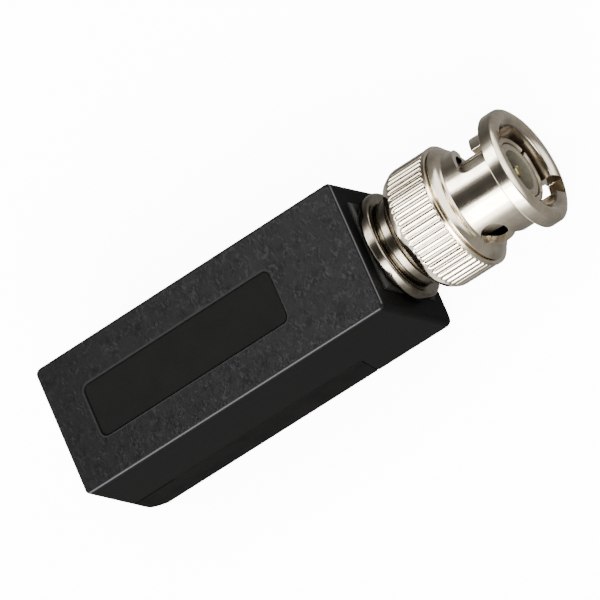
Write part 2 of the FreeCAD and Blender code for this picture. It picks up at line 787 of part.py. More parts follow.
def bayonet_slot():
    """One entry groove, its helical ramp and the round detent at its end."""
    x_start = X_NUT_FRONT - RAMP_START
    x_detent = X_NUT_FRONT - DETENT_DEPTH
    x_ramp_end = x_start - RAMP_DROP
    half = SLOT_WIDTH / 2
    low = NUT_BORE - 0.6
    high = BARREL_RADIUS + 0.6

    # Entry groove: straight, with its round end where the ramp begins
    groove = box(
        x_start,
        X_NUT_FRONT + 1,
        -half,
        half,
        AXIS_HEIGHT + low,
        AXIS_HEIGHT + ENTRY_RADIUS + 1,
    )
    foot = Vector(x_start, 0, AXIS_HEIGHT + low)
    turn = Part.makeCylinder(half, ENTRY_RADIUS + 1 - low, foot, UP)
    entry = groove.fuse(turn).common(rod(x_start - half - 1, X_NUT_FRONT + 2, ENTRY_RADIUS))

    # Ramp: a slot-wide section carried along a helix from the detent end
    lead = RAMP_DROP * 360.0 / RAMP_SWEEP
    middle = (low + high) / 2
    helix = Part.makeHelix(lead, RAMP_DROP, middle)
    lean = math.atan2(lead, 2 * math.pi * middle)
    across = half / math.cos(lean)
    corners = [
        Vector(low, 0, -across),
        Vector(high, 0, -across),
        Vector(high, 0, across),
        Vector(low, 0, across),
    ]
    section = Part.makePolygon(corners + corners[:1])
    ramp = Part.Wire(helix).makePipeShell([section], True, True)
    # Stand the helix on the plug axis: its Z becomes X, its start faces the detent
    ramp.rotate(Vector(0, 0, 0), ACROSS, 90)
    ramp.translate(Vector(x_ramp_end, 0, AXIS_HEIGHT))
    ramp.rotate(ON_AXIS, ALONG, 180 - RAMP_SWEEP)

    # Detent: round hole at the end of the ramp
    foot = Vector(x_detent, 0, AXIS_HEIGHT + low)
    detent = Part.makeCylinder(DETENT_RADIUS, high - low, foot, UP)
    detent = clocked(detent, RAMP_SWEEP)
    end = Vector(x_ramp_end, 0, AXIS_HEIGHT + low)
    round_end = clocked(Part.makeCylinder(half, high - low, end, UP), RAMP_SWEEP)
    return [entry, ramp, detent, round_end]


def bayonet_nut():
    """Knurled coupling nut with two bayonet slots half a turn apart."""
    nut = turned(nut_profile())
    nut = nut.cut(knurl_grooves())
    for turn in (0, 180):
        for tool in bayonet_slot():
            nut = nut.cut(clocked(tool, SLOT_CLOCK + turn))
    return nut


def retaining_ring():
    """Split ring sprung into the groove inside the rear of the nut."""
    x0 = X_RETAINER + RETAINER_PLAY
    x1 = X_RETAINER + RETAINER_WIDTH - RETAINER_PLAY
    ring = tube(x0, x1, RETAINER_RADIUS, RETAINER_BORE)
    half = RETAINER_GAP / 2
    z0 = AXIS_HEIGHT - RETAINER_RADIUS - 1
    gap = box(x0 - 1, x1 + 1, -half, half, z0, AXIS_HEIGHT)
    return ring.cut(gap)


def thrust_washer():
    """Flat washer between the retaining ring and the wave spring."""
    inner = NECK_RADIUS + WASHER_CLEARANCE
    outer = NUT_REAR_BORE - WASHER_CLEARANCE
    return tube(X_WASHER, X_WAVE, outer, inner)


def wave_washer():
    """Wave spring that draws the nut back against the stop flange."""
    inner = NECK_RADIUS + WAVE_BORE_GAP
    outer = NUT_REAR_BORE - WAVE_BORE_GAP
    swing = (WAVE_HEIGHT - WAVE_THICKNESS) / 2
    steps = WAVE_COUNT * 8
    sections = []
    for i in range(steps):
        turn = 2 * math.pi * i / steps
        x0 = X_WAVE + swing - swing * math.cos(WAVE_COUNT * turn)
        corners = []
        for x, r in (
            (x0, inner),
            (x0, outer),
            (x0 + WAVE_THICKNESS, outer),
            (x0 + WAVE_THICKNESS, inner),
        ):
            y = r * math.sin(turn)
            z = AXIS_HEIGHT + r * math.cos(turn)
            corners.append(Vector(x, y, z))
        sections.append(corners)
    faces = []
    for i in range(steps):
        a = sections[i]
        b = sections[(i + 1) % steps]
        for k in range(4):
            m = (k + 1) % 4
            for tri in ((a[k], a[m], b[m]), (a[k], b[m], b[k])):
                faces.append(Part.Face(Part.makePolygon(list(tri) + [tri[0]])))
    solid = Part.Solid(Part.Shell(faces))
    if solid.Volume < 0:
        solid.reverse()
    return solid


def circuit_board():
    """Board held near the roof, with holes for the leads and legs."""
    half = CASE_WIDTH / 2 - SIDE_WALL - BOARD_SIDE_GAP
    board = box(X_BOARD_REAR, X_BOARD_FRONT, -half, half, Z_BOARD, Z_BOARD_TOP)
    holes = [(X_LEAD, 0.0, LEAD_RADIUS)]
    for y in pole_places():
        holes.append((X_LEG + BAR_THICKNESS / 2, y, leg_half_diagonal()))
    for side in (-1, 1):
        y = side * SUPPRESSOR_PITCH / 2
        holes.append((X_END - SUPPRESSOR_SETBACK, y, LEAD_RADIUS))
    for x, y, r in holes:
        foot = Vector(x, y, Z_BOARD - 1)
        hole = Part.makeCylinder(r + LEAD_CLEARANCE, BOARD_THICKNESS + 2, foot, UP)
        board = board.cut(hole)
    return board


def leg_half_diagonal():
    """Reach of a terminal leg's corner from the middle of its hole."""
    return math.hypot(BAR_THICKNESS / 2, BAR_THICKNESS / 2)


def signal_lead():
    """Wire from the pin's solder cup, bent up through the board."""
    x0 = X_PIN_TAIL + PIN_CUP_DEPTH
    x1 = X_LEAD + LEAD_BEND
    z0 = AXIS_HEIGHT
    z1 = AXIS_HEIGHT + LEAD_BEND
    top = Z_BOARD_TOP + LEAD_STANDOUT
    s = LEAD_BEND * math.sqrt(0.5)
    a = Vector(x0, 0, z0)
    b = Vector(x1, 0, z0)
    c = Vector(X_LEAD, 0, z1)
    mid = Vector(X_LEAD + LEAD_BEND - s, 0, z1 - s)
    path = Part.Wire(
        [
            Part.makeLine(a, b),
            Part.Arc(b, mid, c).toShape(),
            Part.makeLine(c, Vector(X_LEAD, 0, top)),
        ]
    )
    start = Part.Wire(Part.makeCircle(LEAD_RADIUS, a, Vector(-1, 0, 0)))
    return path.makePipeShell([start], True, False)


def ring_sector(inner, outer, low, high, start, span):
    """Part of an upright ring round the transformer's own axis."""
    x = X_END - CORE_SETBACK
    points = [
        Vector(x + inner, 0, low),
        Vector(x + outer, 0, low),
        Vector(x + outer, 0, high),
        Vector(x + inner, 0, high),
    ]
    face = Part.Face(Part.makePolygon(points + points[:1]))
    ring = face.revolve(Vector(x, 0, 0), UP, span)
    ring.rotate(Vector(x, 0, 0), UP, start)
    return ring


def core_levels():
    """Underside and top of the ferrite ring, hung under the board."""
    top = Z_BOARD - WINDING_THICKNESS
    return top - CORE_WIDTH, top


def transformer_core():
    """Ferrite ring of the balun transformer."""
    low, high = core_levels()
    return ring_sector(CORE_BORE, CORE_RADIUS, low, high, 0, 360)


def winding(start):
    """Close wound wire round one side of the ferrite ring."""
    low, high = core_levels()
    t = WINDING_THICKNESS
    body = ring_sector(
        CORE_BORE - t, CORE_RADIUS + t, low - t, high + t, start, WINDING_SWEEP
    )
    before = start - WINDING_OVERRUN_ANGLE
    sweep = WINDING_SWEEP + 2 * WINDING_OVERRUN_ANGLE
    hollow = ring_sector(CORE_BORE, CORE_RADIUS, low, high, before, sweep)
    return body.cut(hollow)


def surge_suppressor():
    """Disc with two leads through the board."""
    x = X_END - SUPPRESSOR_SETBACK
    half = SUPPRESSOR_WIDTH / 2
    z = Z_BOARD - SUPPRESSOR_DROP - SUPPRESSOR_RADIUS
    disc = Part.makeCylinder(
        SUPPRESSOR_RADIUS, SUPPRESSOR_WIDTH, Vector(x - half, 0, z), ALONG
    )
    leads = []
    for side in (-1, 1):
        foot = Vector(x, side * SUPPRESSOR_PITCH / 2, z)
        tall = Z_BOARD_TOP + LEAD_STANDOUT - z
        leads.append(Part.makeCylinder(LEAD_RADIUS, tall, foot, UP))
    return disc.fuse(leads)


def capacitor():
    """Small box capacitor against the underside of the board."""
    x = X_END - CAPACITOR_SETBACK
    half = CAPACITOR_LENGTH / 2
    wide = CAPACITOR_WIDTH / 2
    low = Z_BOARD - CAPACITOR_HEIGHT
    return box(x - half, x + half, -wide, wide, low, Z_BOARD)


def resistor():
    """Barrel resistor against the underside of the board."""
    x = X_END - RESISTOR_SETBACK
    r = RESISTOR_RADIUS
    start = Vector(x, -RESISTOR_LENGTH / 2, Z_BOARD - r)
    return Part.makeCylinder(r, RESISTOR_LENGTH, start, ACROSS)


def terminal_block():
    """Two-pole moulding with a well, a cage room and a mouth for each pole."""
    half = TERMINAL_WIDTH / 2
    x1 = X_TERMINAL + TERMINAL_DEPTH
    bevel = TERMINAL_BEVEL
    side_view = [
        Vector(X_TERMINAL, -half, Z_TERMINAL + bevel),
        Vector(X_TERMINAL + bevel, -half, Z_TERMINAL),
        Vector(x1, -half, Z_TERMINAL),
        Vector(x1, -half, Z_BOARD),
        Vector(X_TERMINAL, -half, Z_BOARD),
    ]
    block = prism(side_view, Vector(0, TERMINAL_WIDTH, 0))
    room_x = CAGE_DEPTH / 2 + CAGE_CLEARANCE
    room_y = CAGE_WIDTH / 2 + CAGE_CLEARANCE
    bar_y = BAR_WIDTH / 2
    for y in pole_places():
        well = Part.makeCylinder(
            HEAD_RADIUS + WELL_CLEARANCE,
            Z_SHELF - Z_TERMINAL + 1,
            Vector(X_SCREW, y, Z_TERMINAL - 1),
            UP,
        )
        throat = Part.makeCylinder(
            SCREW_RADIUS + SHELF_CLEARANCE,
            Z_CAGE_ROOM - Z_TERMINAL,
            Vector(X_SCREW, y, Z_TERMINAL),
            UP,
        )
        room = box(
            X_SCREW - room_x,
            X_SCREW + room_x,
            y - room_y,
            y + room_y,
            Z_CAGE_ROOM,
            Z_CEILING,
        )
        bar_slot = box(
            X_SCREW - BAR_REACH,
            X_LEG + BAR_THICKNESS,
            y - bar_y,
            y + bar_y,
            Z_BAR,
            Z_BAR_TOP,
        )
        leg_half = BAR_THICKNESS / 2
        leg_slot = box(
            X_LEG,
            X_LEG + BAR_THICKNESS,
            y - leg_half,
            y + leg_half,
            Z_BAR,
            Z_BOARD + 1,
        )
        mouth = wire_mouth(y, X_TERMINAL - 0.1, X_SCREW, MOUTH_FLARE)
        block = block.cut([well, throat, room, bar_slot, leg_slot, mouth])
    return block


def terminal_bar(y):
    """Contact bar through the cage, with a leg up through the board."""
    wide = BAR_WIDTH / 2
    leg = BAR_THICKNESS / 2
    bar = box(
        X_SCREW - BAR_REACH,
        X_LEG + BAR_THICKNESS,
        y - wide,
        y + wide,
        Z_BAR,
        Z_BAR_TOP,
    )
    top = Z_BOARD_TOP + LEG_STANDOUT
    upright = box(X_LEG, X_LEG + BAR_THICKNESS, y - leg, y + leg, Z_BAR, top)
    return bar.fuse(upright).removeSplitter()


def clamp_cage(y):
    """Square cage that the screw draws down onto the wire and the bar."""
    dx = CAGE_DEPTH / 2
    dy = CAGE_WIDTH / 2
    cage = box(X_SCREW - dx, X_SCREW + dx, y - dy, y + dy, Z_BRIDGE, Z_CAGE_TOP)
    inner = dy - CAGE_SIDE
    window = box(
        X_SCREW - dx - 1,
        X_SCREW + dx + 1,
        y - inner,
        y + inner,
        Z_BRIDGE_TOP,
        Z_WIRE_TOP,
    )
    hole = Part.makeCylinder(
        SCREW_RADIUS + SCREW_CLEARANCE,
        CAGE_BRIDGE + 1,
        Vector(X_SCREW, y, Z_BRIDGE - 0.5),
        UP,
    )
    return cage.cut([window, hole])


def clamp_screw(y):
    """Slotted screw with its head down, under the shelf of the block."""
    foot = Vector(X_SCREW, y, Z_HEAD)
    head = Part.makeCylinder(HEAD_RADIUS, HEAD_HEIGHT, foot, UP)
    length = Z_BRIDGE_TOP - SCREW_TIP_GAP / 2 - Z_HEAD
    shank = Part.makeCylinder(SCREW_RADIUS, length, foot, UP)
    half = HEAD_SLOT / 2
    slot = box(
        X_SCREW - HEAD_RADIUS - 1,
        X_SCREW + HEAD_RADIUS + 1,
        y - half,
        y + half,
        Z_HEAD - 1,
        Z_HEAD + HEAD_SLOT,
    )
    return head.fuse(shank).removeSplitter().cut(slot)


def build():
    """Every piece by the name of its node."""
    upper, cover = upper_and_cover()
    parts = {
        "upper_housing": upper,
        "bottom_cover": cover,
        "label_plate": label_plate(),
        "connector_block": connector_block(),
        "connector_body": connector_body(),
        "lock_ring": lock_ring(),
        "ground_tag": ground_tag(),
        "outer_contact": outer_contact(),
        "insulator": insulator(),
        "centre_pin": centre_pin(),
        "gasket": gasket(),
        "bayonet_nut": bayonet_nut(),
        "retaining_ring": retaining_ring(),
        "thrust_washer": thrust_washer(),
        "wave_washer": wave_washer(),
        "circuit_board": circuit_board(),
        "signal_lead": signal_lead(),
        "transformer_core": transformer_core(),
        "line_winding": winding(WINDING_START_ANGLE),
        "camera_winding": winding(WINDING_START_ANGLE + 180),
        "surge_suppressor": surge_suppressor(),
        "capacitor": capacitor(),
        "resistor": resistor(),
        "terminal_block": terminal_block(),
    }
    for name, y in zip(("1", "2"), pole_places()):
        parts["terminal_bar_" + name] = terminal_bar(y)
        parts["clamp_cage_" + name] = clamp_cage(y)
        parts["clamp_screw_" + name] = clamp_screw(y)
    return parts


os.makedirs("parts", exist_ok=True)
for node, shape in build().items():
    if len(shape.Solids) != 1:
        print("check", node, "has", len(shape.Solids), "solids")
    solid = shape.Solids[0] if len(shape.Solids) == 1 else shape
    if not solid.isValid():
        print("check", node, "is not valid")
    solid.exportStep("parts/" + node + ".step")
    print(node, round(solid.Volume, 2))
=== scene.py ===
import json
import math

import bmesh
import bpy
import numpy as np
from mathutils import Matrix, Vector


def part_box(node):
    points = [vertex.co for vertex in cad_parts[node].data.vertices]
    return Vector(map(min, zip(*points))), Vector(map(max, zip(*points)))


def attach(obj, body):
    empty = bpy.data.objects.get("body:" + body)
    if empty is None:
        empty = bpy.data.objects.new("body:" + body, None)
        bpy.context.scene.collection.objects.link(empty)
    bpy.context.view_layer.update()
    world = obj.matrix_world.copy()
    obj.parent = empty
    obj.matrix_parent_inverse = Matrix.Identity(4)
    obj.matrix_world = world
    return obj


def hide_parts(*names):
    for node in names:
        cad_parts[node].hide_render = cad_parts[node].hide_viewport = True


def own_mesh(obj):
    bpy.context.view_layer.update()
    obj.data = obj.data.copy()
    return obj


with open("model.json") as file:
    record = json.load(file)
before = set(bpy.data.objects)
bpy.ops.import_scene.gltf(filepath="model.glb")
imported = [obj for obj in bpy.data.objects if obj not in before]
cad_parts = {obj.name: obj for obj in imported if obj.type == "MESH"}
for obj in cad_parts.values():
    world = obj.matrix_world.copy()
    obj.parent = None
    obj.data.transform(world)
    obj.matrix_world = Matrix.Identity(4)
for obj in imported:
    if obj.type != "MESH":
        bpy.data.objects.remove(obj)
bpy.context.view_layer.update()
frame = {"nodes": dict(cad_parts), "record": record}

NODES = frame["nodes"]
MM = 0.001
TURN = 2 * math.pi

# The photograph's view: a point on the case, how the camera is turned and its place from there
LOOK_AT = Vector((0.0, 0.0, 0.00745))
TURN_ABOUT_X = -0.38202
TURN_ABOUT_Y = -0.39657
TURN_ABOUT_Z = 0.56793
ASIDE = -0.006393
DOWN = -0.005198
DISTANCE = 0.83374
PIXELS_PER_MM = 9.147
PICTURE = 600
SENSOR = 36.0

# Room: brightness at an angle round the plug's axis, in degrees from +Y towards +Z
ROOM_LEVELS = (
    (-180, 0.9), (-161, 0.45), (-131, 0.33), (-114, 0.25), (-95, 0.25), (-80, 0.35), (-60, 0.38),
    (-11, 0.18), (15, 0.1), (26, 0.14), (34, 0.25), (46, 1.2), (52, 10.0), (68, 12.0), (73, 4.0),
    (78, 0.5), (86, 0.1), (98, 0.06), (112, 0.08), (118, 0.9), (122, 12.0), (150, 14.0),
    (165, 8.0), (172, 2.5), (180, 0.9),
)
ROOM_GREEN = 0.985
ROOM_BLUE = 0.955
FRONT_GREY = (0.36, 0.35, 0.33, 1.0)
REAR_LIGHT = (1.9, 1.87, 1.81, 1.0)
END_LIGHT = 4.0
FLOOR_REACH = 3000.0
FLOOR_LIGHT = 10.0

# Key light above the side in view: degrees round and up, metres wide, long and away, and watts
KEY_AROUND = -100
KEY_UP = 38
KEY_WIDTH = 0.3
KEY_LENGTH = 0.6
KEY_AWAY = 0.6
KEY_POWER = 6

# Top face of the case: its height, half its width and its plug end, in millimetres
TOP_HEIGHT = 14.9
TOP_HALF_WIDTH = 7.9
TOP_END = 20.8

# Label's recess in the top face: its middle, how far the straight sides reach, its corners
RECESS_MIDDLE = (-3.1, 0.0, 0.0)
RECESS_REACH = (12.2, 2.4, 100.0)
RECESS_RADIUS = 0.9

# Painted highlights round that recess and on the top's edges, in millimetres: how far the hairline lies
# out from the outline, then pairs of where a line starts to fade in and where it is full
HAIR_SHIFT = 0.05
HAIR_FADES = (0.13, 0.05)
HAIR_DEPTHS = (0.4, 0.35)
GLINT_FADES = (0.15, 0.08)
GLINT_ENDS = (0.5, 0.65)

# Leather grain: turn and stretch of the two noises whose level lines are the creases
CREASES = ((0.3, (0.6, 1.7, 1.0)), (-0.4, (0.55, 1.5, 1.0)))
CREASE_RELIEF = 1.5

# Shading, in millimetres: the radius that edges are eased to, and the relief of a plate
HOUSING_EDGE = 0.1
SMALL_EDGE = 0.08
PLATE_RELIEF = 0.004

# Outlines and meshes: the most of a side that one easing takes, how near two points are one
# in millimetres and in metres, and from how many degrees an edge is sharp
EASED_SHARE = 0.48
SAME_POINT = 1e-6
SAME_VERTEX = 1e-8
SHARP_ANGLE = 35.0

# Coupling nut, in millimetres along +X from its rear and out from the plug's axis
AXIS_HEIGHT = 7.5
NUT_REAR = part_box("bayonet_nut")[0][0] / MM
NUT_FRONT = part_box("bayonet_nut")[1][0] / MM
REAR_RADIUS = 6.7
TAPER_LENGTH = 1.1
KNURL_LENGTH = 4.4
KNURL_RADIUS = 7.3
KNURL_COUNT = 56
KNURL_DEPTH = 0.2
KNURL_CROWN = 2.5
KNURL_STEPS = 10
KNURL_INSIDE = 6.65
KNURL_FADES = (0.95, 1.25, 5.5, 5.6)
RELIEF_WIDTH = 0.2
RELIEF_DEPTH = 0.25
RIM_WIDTH = 0.4
RIM_RADIUS = 7.35
HAIRLINE_WIDTH = 0.14
HAIRLINE_RADIUS = 6.6
SHOULDER_WIDTH = 0.1
SHOULDER_RADIUS = 6.9
FALL_LENGTH = 1.0
FALL_BEND = (0.6, 0.72)
NECK_RADIUS = 5.7
FLANGE_WIDTH = 2.0
FLANGE_RADIUS = 7.0
LIP_CREST = 5.95
LIP_FLAT = 0.15
LIP_BEND = (0.12, 0.45)
LIP_LENGTH = 0.5
LONGEST_SIDE = 1.0

# Inside of the nut: mouth, wide rear bore and the groove of its retaining ring
BORE_RADIUS = 4.9
REAR_BORE_RADIUS = 6.2
REAR_BORE_END = 4.56
RING_GROOVE_RADIUS = 6.6
RING_GROOVE_START = 0.65
RING_GROOVE_END = 1.45

# Bayonet slots, turned in degrees and with their stations back from the nut's front
SLOT_WIDTH = 2.3
SLOT_CLOCK = 19.4
SLOT_SWEEP = 90.0
SLOT_START = 4.8
SLOT_DROP = 1.85
ENTRY_RADIUS = 6.2
DETENT_RADIUS = 1.5
DETENT_DEPTH = 6.55
CUTTER_INSIDE = 0.6
CUTTER_OUTSIDE = 0.5

# How finely their cutters are drawn, how far they start off a tip and how far they run out
ENTRY_TIP = 0.02
ENTRY_STEP = 0.5
ENTRY_PAST = 1.0
ENTRY_END_STEPS = 14
ENTRY_SIDE_STEPS = 8
ENTRY_ACROSS = 13
RAMP_STEPS = 150
RAMP_ACROSS = 9

# Rear body, from its tail to its collar
BODY_STEPS = 240
TAIL_RADIUS = 2.6
TAIL_BORE = 1.9
BASE_RING_WIDTH = 1.5
BASE_RING_RADIUS = 6.5
BODY_GROOVE_WIDTH = 0.3
BODY_GROOVE_RADIUS = 4.9
COLLAR_WIDTH = 1.05
COLLAR_RADIUS = 5.3
COLLAR_BORE = 3.7
COLLAR_BORE_DEPTH = 2.05

# Wave washer and gasket
WASHER_INSIDE = 4.6
WASHER_OUTSIDE = 6.0
WASHER_THICKNESS = 0.25
WASHER_WAVES = 3
GASKET_INSIDE = 3.8
GASKET_OUTSIDE = 4.6

# Centre pin, from its solder cup to its round nose
PIN_STEPS = 72
CUP_DEPTH = 1.6
CUP_BORE = 0.35
CUP_RADIUS = 0.7
STEM_START = 3.2
STEM_RADIUS = 1.1
SHANK_LENGTH = 5.15
SHANK_RADIUS = 0.675


def as_mesh(name, points, faces):
    """Mesh from points in millimetres and rows of corner numbers."""
    mesh = bpy.data.meshes.new(name)
    mesh.from_pydata((points * MM).tolist(), [], faces.tolist())
    mesh.update()
    return mesh


def quads(rows, columns, wrap_rows=True, wrap_columns=True):
    """Corner numbers of a grid's quads; a wrapped side joins its last line to its first."""
    r = np.arange(rows if wrap_rows else rows - 1)[:, None]
    c = np.arange(columns if wrap_columns else columns - 1)[None, :]
    r1, c1 = (r + 1) % rows, (c + 1) % columns
    corners = [r * columns + c, r * columns + c1, r1 * columns + c1, r1 * columns + c]
    return np.stack(np.broadcast_arrays(*corners), -1).reshape(-1, 4)


def about_axis(station, radius, angle):
    """Point at a station along X, out from the plug's axis, turned from +Z towards +Y."""
    x, r, a = np.broadcast_arrays(station, radius, angle)
    return np.stack([x, r * np.sin(a), AXIS_HEIGHT + r * np.cos(a)], -1)


def eased(corners, steps=5):
    """Closed outline whose corners are rounded.

    A row is (station, radius, easing): the corner gives way to a parabola that
    leaves the two sides at the easing's distance, with the corner as its pull point.
    Two easings never take up the whole of a side, and points on one spot become one.
    """
    rows = np.array(corners, float)
    at, ease = rows[:, :2], rows[:, 2]
    back, ahead = np.roll(at, 1, 0) - at, np.roll(at, -1, 0) - at
    far = np.minimum(np.hypot(*back.T), np.hypot(*ahead.T)) * EASED_SHARE
    ease = np.minimum(ease, far)[:, None, None]
    t = np.linspace(0, 1, steps)[None, :, None]
    start = at[:, None] + ease * (back / np.hypot(*back.T)[:, None])[:, None]
    end = at[:, None] + ease * (ahead / np.hypot(*ahead.T)[:, None])[:, None]
    bend = (1 - t) ** 2 * start + 2 * t * (1 - t) * at[:, None] + t**2 * end
    flat = bend.reshape(-1, 2)
    step = np.hypot(*(flat - np.roll(flat, 1, 0)).T)
    return flat[step > SAME_POINT]


def filled_in(outline, longest):
    """Outline with points added so that no side is longer than the given length."""
    ahead = np.roll(outline, -1, 0)
    parts = np.maximum(1, np.ceil(np.hypot(*(ahead - outline).T) / longest)).astype(int)
    start = np.repeat(np.arange(len(outline)), parts)
    t = np.concatenate([np.arange(n) / n for n in parts])[:, None]
    return outline[start] * (1 - t) + ahead[start] * t


def turned(name, outline, steps=180, solid=False):
    """Outline (station, radius) carried round the plug's axis: P(k, a).

    A ring's outline closes on itself; a solid's starts and ends on the axis.
    """
    a = np.linspace(0, TURN, steps, endpoint=False)[None, :]
    points = about_axis(outline[:, :1], outline[:, 1:], a)
    return as_mesh(name, points.reshape(-1, 3), quads(len(outline), steps, not solid))


def slab(name, low, high):
    """Closed slab between two grids of the same size: both faces and the four sides."""
    rows, columns = low.shape[:2]
    count = rows * columns
    faces = quads(rows, columns, False, False)
    edge = np.arange(count).reshape(rows, columns)
    rim = np.concatenate([edge[0, :-1], edge[:-1, -1], edge[-1, :0:-1], edge[:0:-1, 0]])
    ahead = np.roll(rim, -1)
    side = np.stack([rim, ahead, ahead + count, rim + count], -1)
    everything = np.concatenate([faces[:, ::-1], faces + count, side])
    points = np.concatenate([low.reshape(-1, 3), high.reshape(-1, 3)])
    return as_mesh(name, points, everything)


def outward(mesh):
    """Make every face of a closed mesh point outwards."""
    work = bmesh.new()
    work.from_mesh(mesh)
    bmesh.ops.remove_doubles(work, verts=work.verts, dist=SAME_VERTEX)
    bmesh.ops.dissolve_degenerate(work, edges=work.edges, dist=SAME_VERTEX)
    bmesh.ops.recalc_face_normals(work, faces=work.faces)
    work.to_mesh(mesh)
    work.free()


def piece(mesh, body, replaced):
    """Object at the origin that rides on a body and stands for a CAD node, which it hides."""
    outward(mesh)
    mesh.shade_smooth()
    mesh.set_sharp_from_angle(angle=math.radians(SHARP_ANGLE))
    obj = bpy.data.objects.new(mesh.name, mesh)
    bpy.context.scene.collection.objects.link(obj)
    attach(obj, body)
    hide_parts(replaced)
    return obj


def nut_outline():
    """Profile of the coupling nut, from its rear edge over the outside and back through the bore.

    Behind the rim is the knurl, and ahead of it a hairline groove, a shoulder that
    falls to the neck, and the end flange with its rolled lip.
    """
    rear, front = NUT_REAR, NUT_FRONT
    knurl = rear + TAPER_LENGTH
    relief = knurl + KNURL_LENGTH
    rim = relief + RELIEF_WIDTH
    hair = rim + RIM_WIDTH
    shoulder = hair + HAIRLINE_WIDTH
    fall = shoulder + SHOULDER_WIDTH
    neck = fall + FALL_LENGTH
    flange = front - FLANGE_WIDTH
    return eased([
        (rear, REAR_BORE_RADIUS, 0.05),
        (rear, REAR_RADIUS, 0.15),
        (knurl, KNURL_RADIUS, 0.35),
        (relief, KNURL_RADIUS, 0.04),
        (relief + RELIEF_WIDTH / 2, KNURL_RADIUS - RELIEF_DEPTH, 0.03),
        (rim, RIM_RADIUS, 0.06),
        (hair, RIM_RADIUS, 0.06),
        (hair, HAIRLINE_RADIUS, 0.03),
        (shoulder, HAIRLINE_RADIUS, 0.03),
        (shoulder, SHOULDER_RADIUS, 0.04),
        (fall, SHOULDER_RADIUS, 0.2),
        (fall + FALL_BEND[0], NECK_RADIUS + FALL_BEND[1], 0.4),
        (neck, NECK_RADIUS, 0.3),
        (flange, NECK_RADIUS, 0.06),
        (flange, FLANGE_RADIUS, 0.14),
        (front - LIP_LENGTH, FLANGE_RADIUS, 0.3),
        (front - LIP_BEND[0], LIP_CREST + LIP_BEND[1], 0.3),
        (front, LIP_CREST + LIP_FLAT, 0.14),
        (front, LIP_CREST - LIP_FLAT, 0.14),
        (front - LIP_BEND[0], LIP_CREST - LIP_BEND[1], 0.3),
        (front - LIP_LENGTH, BORE_RADIUS, 0.2),
        (rear + REAR_BORE_END, BORE_RADIUS, 0.05),
        (rear + REAR_BORE_END, REAR_BORE_RADIUS, 0.05),
        (rear + RING_GROOVE_END, REAR_BORE_RADIUS, 0.04),
        (rear + RING_GROOVE_END, RING_GROOVE_RADIUS, 0.04),
        (rear + RING_GROOVE_START, RING_GROOVE_RADIUS, 0.04),
        (rear + RING_GROOVE_START, REAR_BORE_RADIUS, 0.04),
    ])


def knurled(outline):
    """Nut's surface P(k, a): the outline round the axis, less the knurl's grooves.

    A groove falls from a rounded ridge into a sharp root, by the depth times the
    2.5th power of the way to it. Along the nut it fades in on the rear taper and
    out on the wall of the relief; the surfaces inside the nut stay plain.
    """
    steps = KNURL_COUNT * KNURL_STEPS
    a = np.linspace(0, TURN, steps, endpoint=False)
    tooth = (a * KNURL_COUNT / TURN + 0.5) % 1.0 - 0.5
    groove = KNURL_DEPTH * (1 - np.abs(tooth) * 2) ** KNURL_CROWN
    station, radius = outline[:, :1], outline[:, 1:]
    along = np.interp(station - NUT_REAR, KNURL_FADES, (0, 1, 1, 0))
    cut = np.where(radius > KNURL_INSIDE, along, 0) * groove[None, :]
    points = about_axis(station, radius - cut, a[None, :])
    return as_mesh("bayonet_nut_shell", points.reshape(-1, 3), quads(len(outline), steps))


def entry_cutter(turn):
    """Slab of an entry groove: straight sides, round inner end, floor on a cylinder."""
    half = SLOT_WIDTH / 2
    start = NUT_FRONT - SLOT_START
    bend = np.linspace(ENTRY_TIP, math.pi / 2, ENTRY_END_STEPS)
    straight = np.linspace(start + ENTRY_STEP, NUT_FRONT + ENTRY_PAST, ENTRY_SIDE_STEPS)
    station = np.concatenate([start - half * np.cos(bend), straight])
    width = np.concatenate([half * np.sin(bend), np.full(ENTRY_SIDE_STEPS, half)])[:, None]
    across = width * np.linspace(-1, 1, ENTRY_ACROSS)[None, :]
    layers = []
    for radius in (BORE_RADIUS - CUTTER_INSIDE, ENTRY_RADIUS):
        angle = np.arcsin(across / radius) + turn
        layers.append(about_axis(station[:, None], radius, angle))
    return slab("entry", *layers)


def ramp_cutter(turn):
    """Slab of a ramp with its round detent.

    At each turn the slot covers the span of the leaning ramp, of its round ends
    and of the detent circle, worked out as distances on the neck's surface.
    """
    half = SLOT_WIDTH / 2
    start = NUT_FRONT - SLOT_START
    sweep = math.radians(SLOT_SWEEP)
    drop = SLOT_DROP / sweep
    lean = math.atan2(drop, NECK_RADIUS)
    over = DETENT_RADIUS / NECK_RADIUS
    # The ends stay just short of the points where the two circles close
    a = np.linspace(-half * 0.98 / NECK_RADIUS, sweep + over * 0.999, RAMP_STEPS)
    middle = start - drop * a.clip(0, sweep)
    past = np.maximum(np.maximum(-a, a - sweep), 0) * NECK_RADIUS
    reach = np.sqrt(np.maximum(half**2 - past**2, 0)) / math.cos(lean)
    hole = np.sqrt(np.maximum(DETENT_RADIUS**2 - ((a - sweep) * NECK_RADIUS) ** 2, 0))
    detent = NUT_FRONT - DETENT_DEPTH
    inside = np.abs(a - sweep) < over
    low = np.where(inside, np.minimum(middle - reach, detent - hole), middle - reach)
    high = np.where(inside, np.maximum(middle + reach, detent + hole), middle + reach)
    past_end = past > half
    low = np.where(past_end, detent - hole, low)
    high = np.where(past_end, detent + hole, high)
    t = np.linspace(0, 1, RAMP_ACROSS)[None, :]
    station = low[:, None] * (1 - t) + high[:, None] * t
    layers = []
    for radius in (BORE_RADIUS - CUTTER_INSIDE, NECK_RADIUS + CUTTER_OUTSIDE):
        layers.append(about_axis(station, radius, a[:, None] + turn))
    return slab("ramp", *layers)


